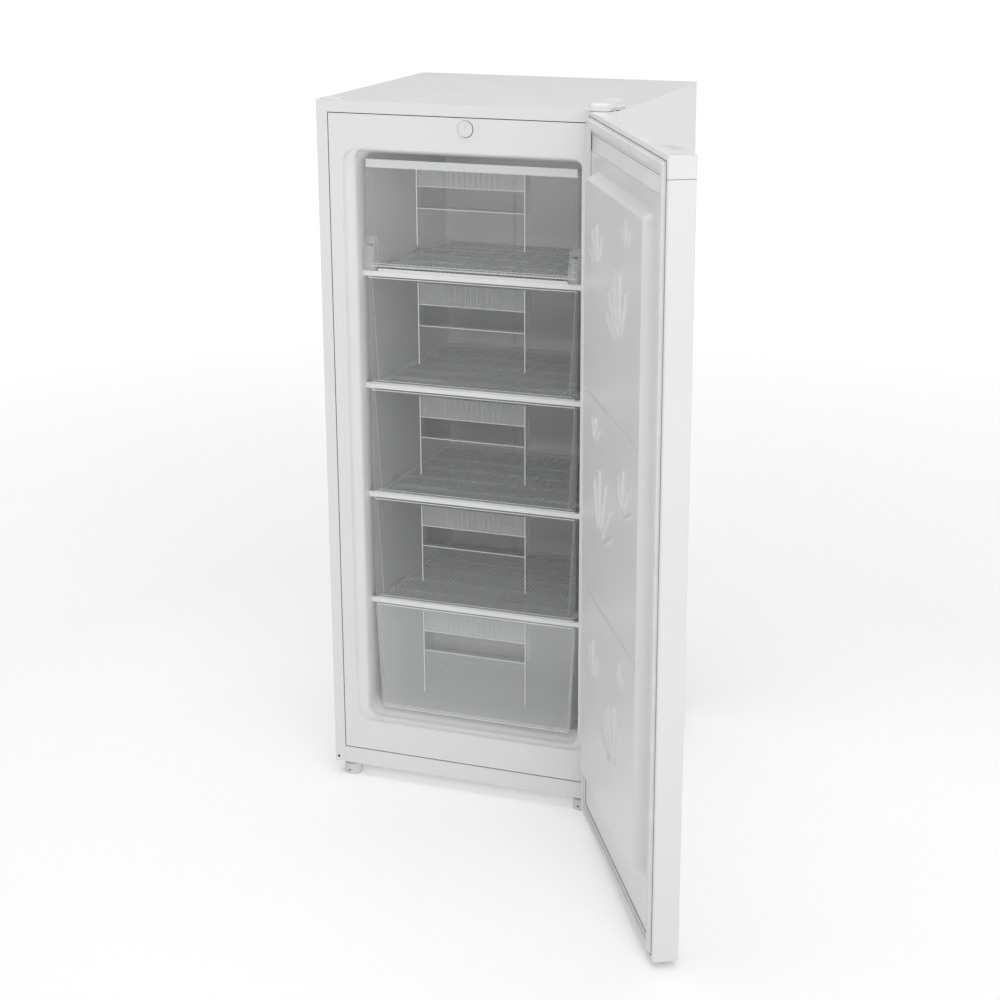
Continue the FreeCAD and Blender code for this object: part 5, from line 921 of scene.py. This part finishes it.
def makeFoot(x, nodeName, body, s):
    # turned drum, hexagonal neck and a threaded stud
    drum = turned(list(s["drum"]) + [(3.0, s["shoulder"])], x, s["y"], 64)
    hexagon = circleAt(x, s["y"], s["neck"] / math.cos(math.pi / 6), 6, math.pi / 6)
    neck = np.stack([ringAt(hexagon, level, False) for level in (s["shoulder"], s["top"] - 0.1)])
    pitch, deep = s["thread"]
    height = np.linspace(s["shoulder"], s["end"], 70)
    thread = s["stud"] - deep + deep * np.cos((height - s["shoulder"]) / pitch * 2 * math.pi)
    stud = turned(np.column_stack([thread, height]), x, s["y"], 20)
    addPiece(nodeName + ".turned", [drum, surface(neck), stud], "foot_plastic", body, (nodeName,))
    # three blind holes for a pin spanner show as dark discs let into the drum: painted shade of the holes
    rim = fullTurn(16)
    discs = []
    for bearing in s["holes"]:
        around = math.radians(bearing)
        outwards = np.array([math.cos(around), math.sin(around), 0])
        along = np.array([-math.sin(around), math.cos(around), 0])
        middle = np.array([x, s["y"], s["holeLevel"]]) + outwards * s["holeSpot"]
        flat = middle + s["holeRadius"] * (np.cos(rim)[:, None] * along + np.sin(rim)[:, None] * np.array([0, 0, 1]))
        discs.append(surface(np.stack([flat, flat + outwards * 0.42])))
    addPiece(nodeName + ".spanner_hole_shade", discs, "black_plastic", body)


for x, nodeName, body in footSettings["places"]:
    makeFoot(x, nodeName, body, footSettings)

# the cooling circuit at the back

backPlane = 238.0
coilSettings = {"y": backPlane + 22, "low": 300, "pitch": 96, "runs": 10, "half": 184.5, "tubeRadius": 2.5,
                "wireRadius": 0.8, "wirePitch": 12, "wires": 35}


def makeCondenser(s):
    # a round tube along an upright serpentine between two rows of fine wires
    flat = serpentinePath(-s["half"], s["half"], s["low"], s["pitch"], s["runs"])
    parts = [tubeAlong(ringAt(flat, s["y"]), s["tubeRadius"], 12, (0, 1, 0))]
    low, high = s["low"] - 12, s["low"] + (s["runs"] - 1) * s["pitch"] + 12
    reach = s["tubeRadius"] + s["wireRadius"]
    for hand, shift in ((-1, 0), (1, s["wirePitch"] / 2)):
        for x in (np.arange(s["wires"]) - (s["wires"] - 1) / 2) * s["wirePitch"] + shift - 3:
            run = np.array([[x, s["y"] + hand * reach, low], [x, s["y"] + hand * reach, high]])
            parts.append(tubeAlong(run, s["wireRadius"], 6, (0, 1, 0)))
    addPiece("condenser.coil", parts, "black_steel", "cabinet", ("condenser",), sharp=50)


makeCondenser(coilSettings)

compressorSettings = {"x": -70, "y": backPlane - 62, "low": 43.4, "radius": 69, "height": 148, "lowerDome": 30,
                      "upperDome": 40, "lowerFlat": 0.55, "upperFlat": 0.4,
                      "weld": ((0, -4.5), (2.2, -4), (3, -2.5), (3, 2.5), (2.2, 4), (0, 4.5))}


def makeCompressor(s):
    # the can is turned from two domes and a weld flange
    r, low = s["radius"], s["low"]
    high, seam = low + s["height"], low + s["height"] / 2
    dome = np.linspace(0, math.pi / 2, 14)
    lower = np.column_stack([r * s["lowerFlat"] + r * (1 - s["lowerFlat"]) * np.sin(dome),
                             low + s["lowerDome"] * (1 - np.cos(dome))])
    upper = np.column_stack([r * s["upperFlat"] + r * (1 - s["upperFlat"]) * np.cos(dome),
                             high - s["upperDome"] + s["upperDome"] * np.sin(dome)])
    flange = [(r + out, seam + up) for out, up in s["weld"]]
    profile = np.concatenate([[(0.05, low)], lower, flange, upper, [(0.05, high)]])
    addPiece("compressor_shell.can", [turned(profile, s["x"], s["y"], 72)], "black_steel", "cabinet",
             ("compressor_shell",), sharp=50)


makeCompressor(compressorSettings)


pipeSettings = {
    "coilEnd": -184.5, "outside": -242, "dischargeRise": 50, "suctionRise": 96, "suctionX": 69, "topPlate": 230.9,
    "bend": 12, "dischargeRadius": 2.5, "suctionRadius": 3, "capillaryRadius": 1.2, "capillaryBend": 8,
    "capillary": (151, 128), "drier": ((0.05, 150), (2.2, 150), (4, 150.6), (7.6, 154), (9, 159), (9, 224), (8, 229),
                                       (5, 234), (2.5, 237), (2.5, 297.4), (0.05, 297.4)),
}


def makePipes(s, can, coil):
    # copper runs between the compressor, the condenser and the cabinet
    end, coilY, coilTop = s["coilEnd"], coil["y"], coil["low"] + (coil["runs"] - 1) * coil["pitch"]
    outside, level, rise = s["outside"], can["low"] + s["dischargeRise"], can["low"] + s["suctionRise"]
    discharge = bentPath([(can["x"] - can["radius"], can["y"], level), (outside, can["y"], level),
                          (outside, coilY, level), (outside, coilY, coilTop), (end, coilY, coilTop)], s["bend"])
    addPiece("discharge_pipe.run", [tubeAlong(discharge, s["dischargeRadius"], 14, (0.53, 0.31, 0.44))], "copper",
             "cabinet", ("discharge_pipe",), sharp=50)
    suction = bentPath([(can["x"] + can["radius"], can["y"], rise), (s["suctionX"], can["y"], rise),
                        (s["suctionX"], can["y"], s["topPlate"])], s["bend"])
    addPiece("suction_pipe.run", [tubeAlong(suction, s["suctionRadius"], 14)], "copper", "cabinet",
             ("suction_pipe",), sharp=50)
    high, low = s["capillary"]
    capillary = bentPath([(end, coilY, high), (end, coilY, low), (end, backPlane - 30, low),
                          (end, backPlane - 30, s["topPlate"])], s["capillaryBend"])
    drier = [turned(s["drier"], end, coilY, 28), tubeAlong(capillary, s["capillaryRadius"], 10)]
    addPiece("filter_drier.body", drier, "copper", "cabinet", ("filter_drier",), sharp=40)


makePipes(pipeSettings, compressorSettings, coilSettings)
for nodeName in ("terminal_cover", "compressor_feet", "condenser_clips", "cord_gland"):
    softened(nodeName, 0.8)
print("cooling circuit made")

# camera, floor and light

cameraSettings = {"place": (1.29199, -3.47477, 1.66732), "yaw": 0.36288, "pitch": 0.30462, "roll": -0.0048,
                  "lens": 74.12}


def placeCamera(s):
    # the view runs along yaw and pitch, and its sideways and upward axes are turned by the roll
    ahead = Vector((-math.sin(s["yaw"]) * math.cos(s["pitch"]), math.cos(s["yaw"]) * math.cos(s["pitch"]),
                    -math.sin(s["pitch"])))
    right = Vector((math.cos(s["yaw"]), math.sin(s["yaw"]), 0))
    up = right.cross(ahead)
    c, n = math.cos(s["roll"]), math.sin(s["roll"])
    right, up = c * right + n * up, c * up - n * right
    data = bpy.data.cameras.new("camera")
    data.lens = s["lens"]
    data.sensor_width = 36
    data.clip_end = 50
    camera = linked("camera", data)
    matrix = Matrix((right, up, -ahead)).transposed().to_4x4()
    matrix.translation = Vector(s["place"])
    camera.matrix_world = matrix
    bpy.context.scene.camera = camera


placeCamera(cameraSettings)

lightSettings = {"around": 0.37, "glowNear": 0.26, "glowFar": 0.66, "glowReach": (1.2, 4.5), "areas": (
    ("topLight", (0.0, -0.2, 3.6), (0.0, -0.1, 0.6), 3.0, 54),
    ("keyLight", (2.6, -3.7, 2.2), (0.0, -0.2, 0.7), 2.2, 38),
)}


def makeFloorAndLight(s):
    # one large pale plane that glows more the farther it lies, an even surround, a soft box overhead and one ahead
    mesh = bpy.data.meshes.new("floor")
    mesh.from_pydata([(-30, -30, 0), (30, -30, 0), (30, 30, 0), (-30, 30, 0)], [], [(0, 1, 2, 3)])
    floor = linked("floor", mesh)
    made, tree, shader = newMaterial("floorPaper")
    fill(shader, {"Base Color": (0.95, 0.95, 0.95, 1), "Roughness": 0.9, "Specular IOR Level": 0.1,
                  "Emission Color": (1, 1, 1, 1)})
    coords = tree.nodes.new("ShaderNodeTexCoord")
    away = tree.nodes.new("ShaderNodeVectorMath")
    away.operation = "LENGTH"
    tree.links.new(coords.outputs["Object"], away.inputs[0])
    mapped(tree, away.outputs["Value"], s["glowNear"], s["glowFar"], shader.inputs["Emission Strength"],
           *s["glowReach"])
    mesh.materials.append(made)
    world = bpy.data.worlds.new("surround")
    world.use_nodes = True
    tree = world.node_tree
    background = tree.nodes["Background"]
    fill(background, {"Color": (1, 1, 1, 1)})
    path = tree.nodes.new("ShaderNodeLightPath")
    # the full strength is seen past the floor's edge only; it lights nothing
    mapped(tree, path.outputs["Is Camera Ray"], s["around"], 1, background.inputs["Strength"])
    bpy.context.scene.world = world
    for name, place, target, size, power in s["areas"]:
        data = bpy.data.lights.new(name, "AREA")
        data.size = size
        data.energy = power
        lamp = linked(name, data)
        lamp.location = place
        lamp.rotation_euler = (Vector(target) - Vector(place)).to_track_quat("-Z", "Y").to_euler()


makeFloorAndLight(lightSettings)
bpy.context.scene.view_settings.view_transform = "Standard"
print("camera, floor and light set")

bpy.context.view_layer.update()
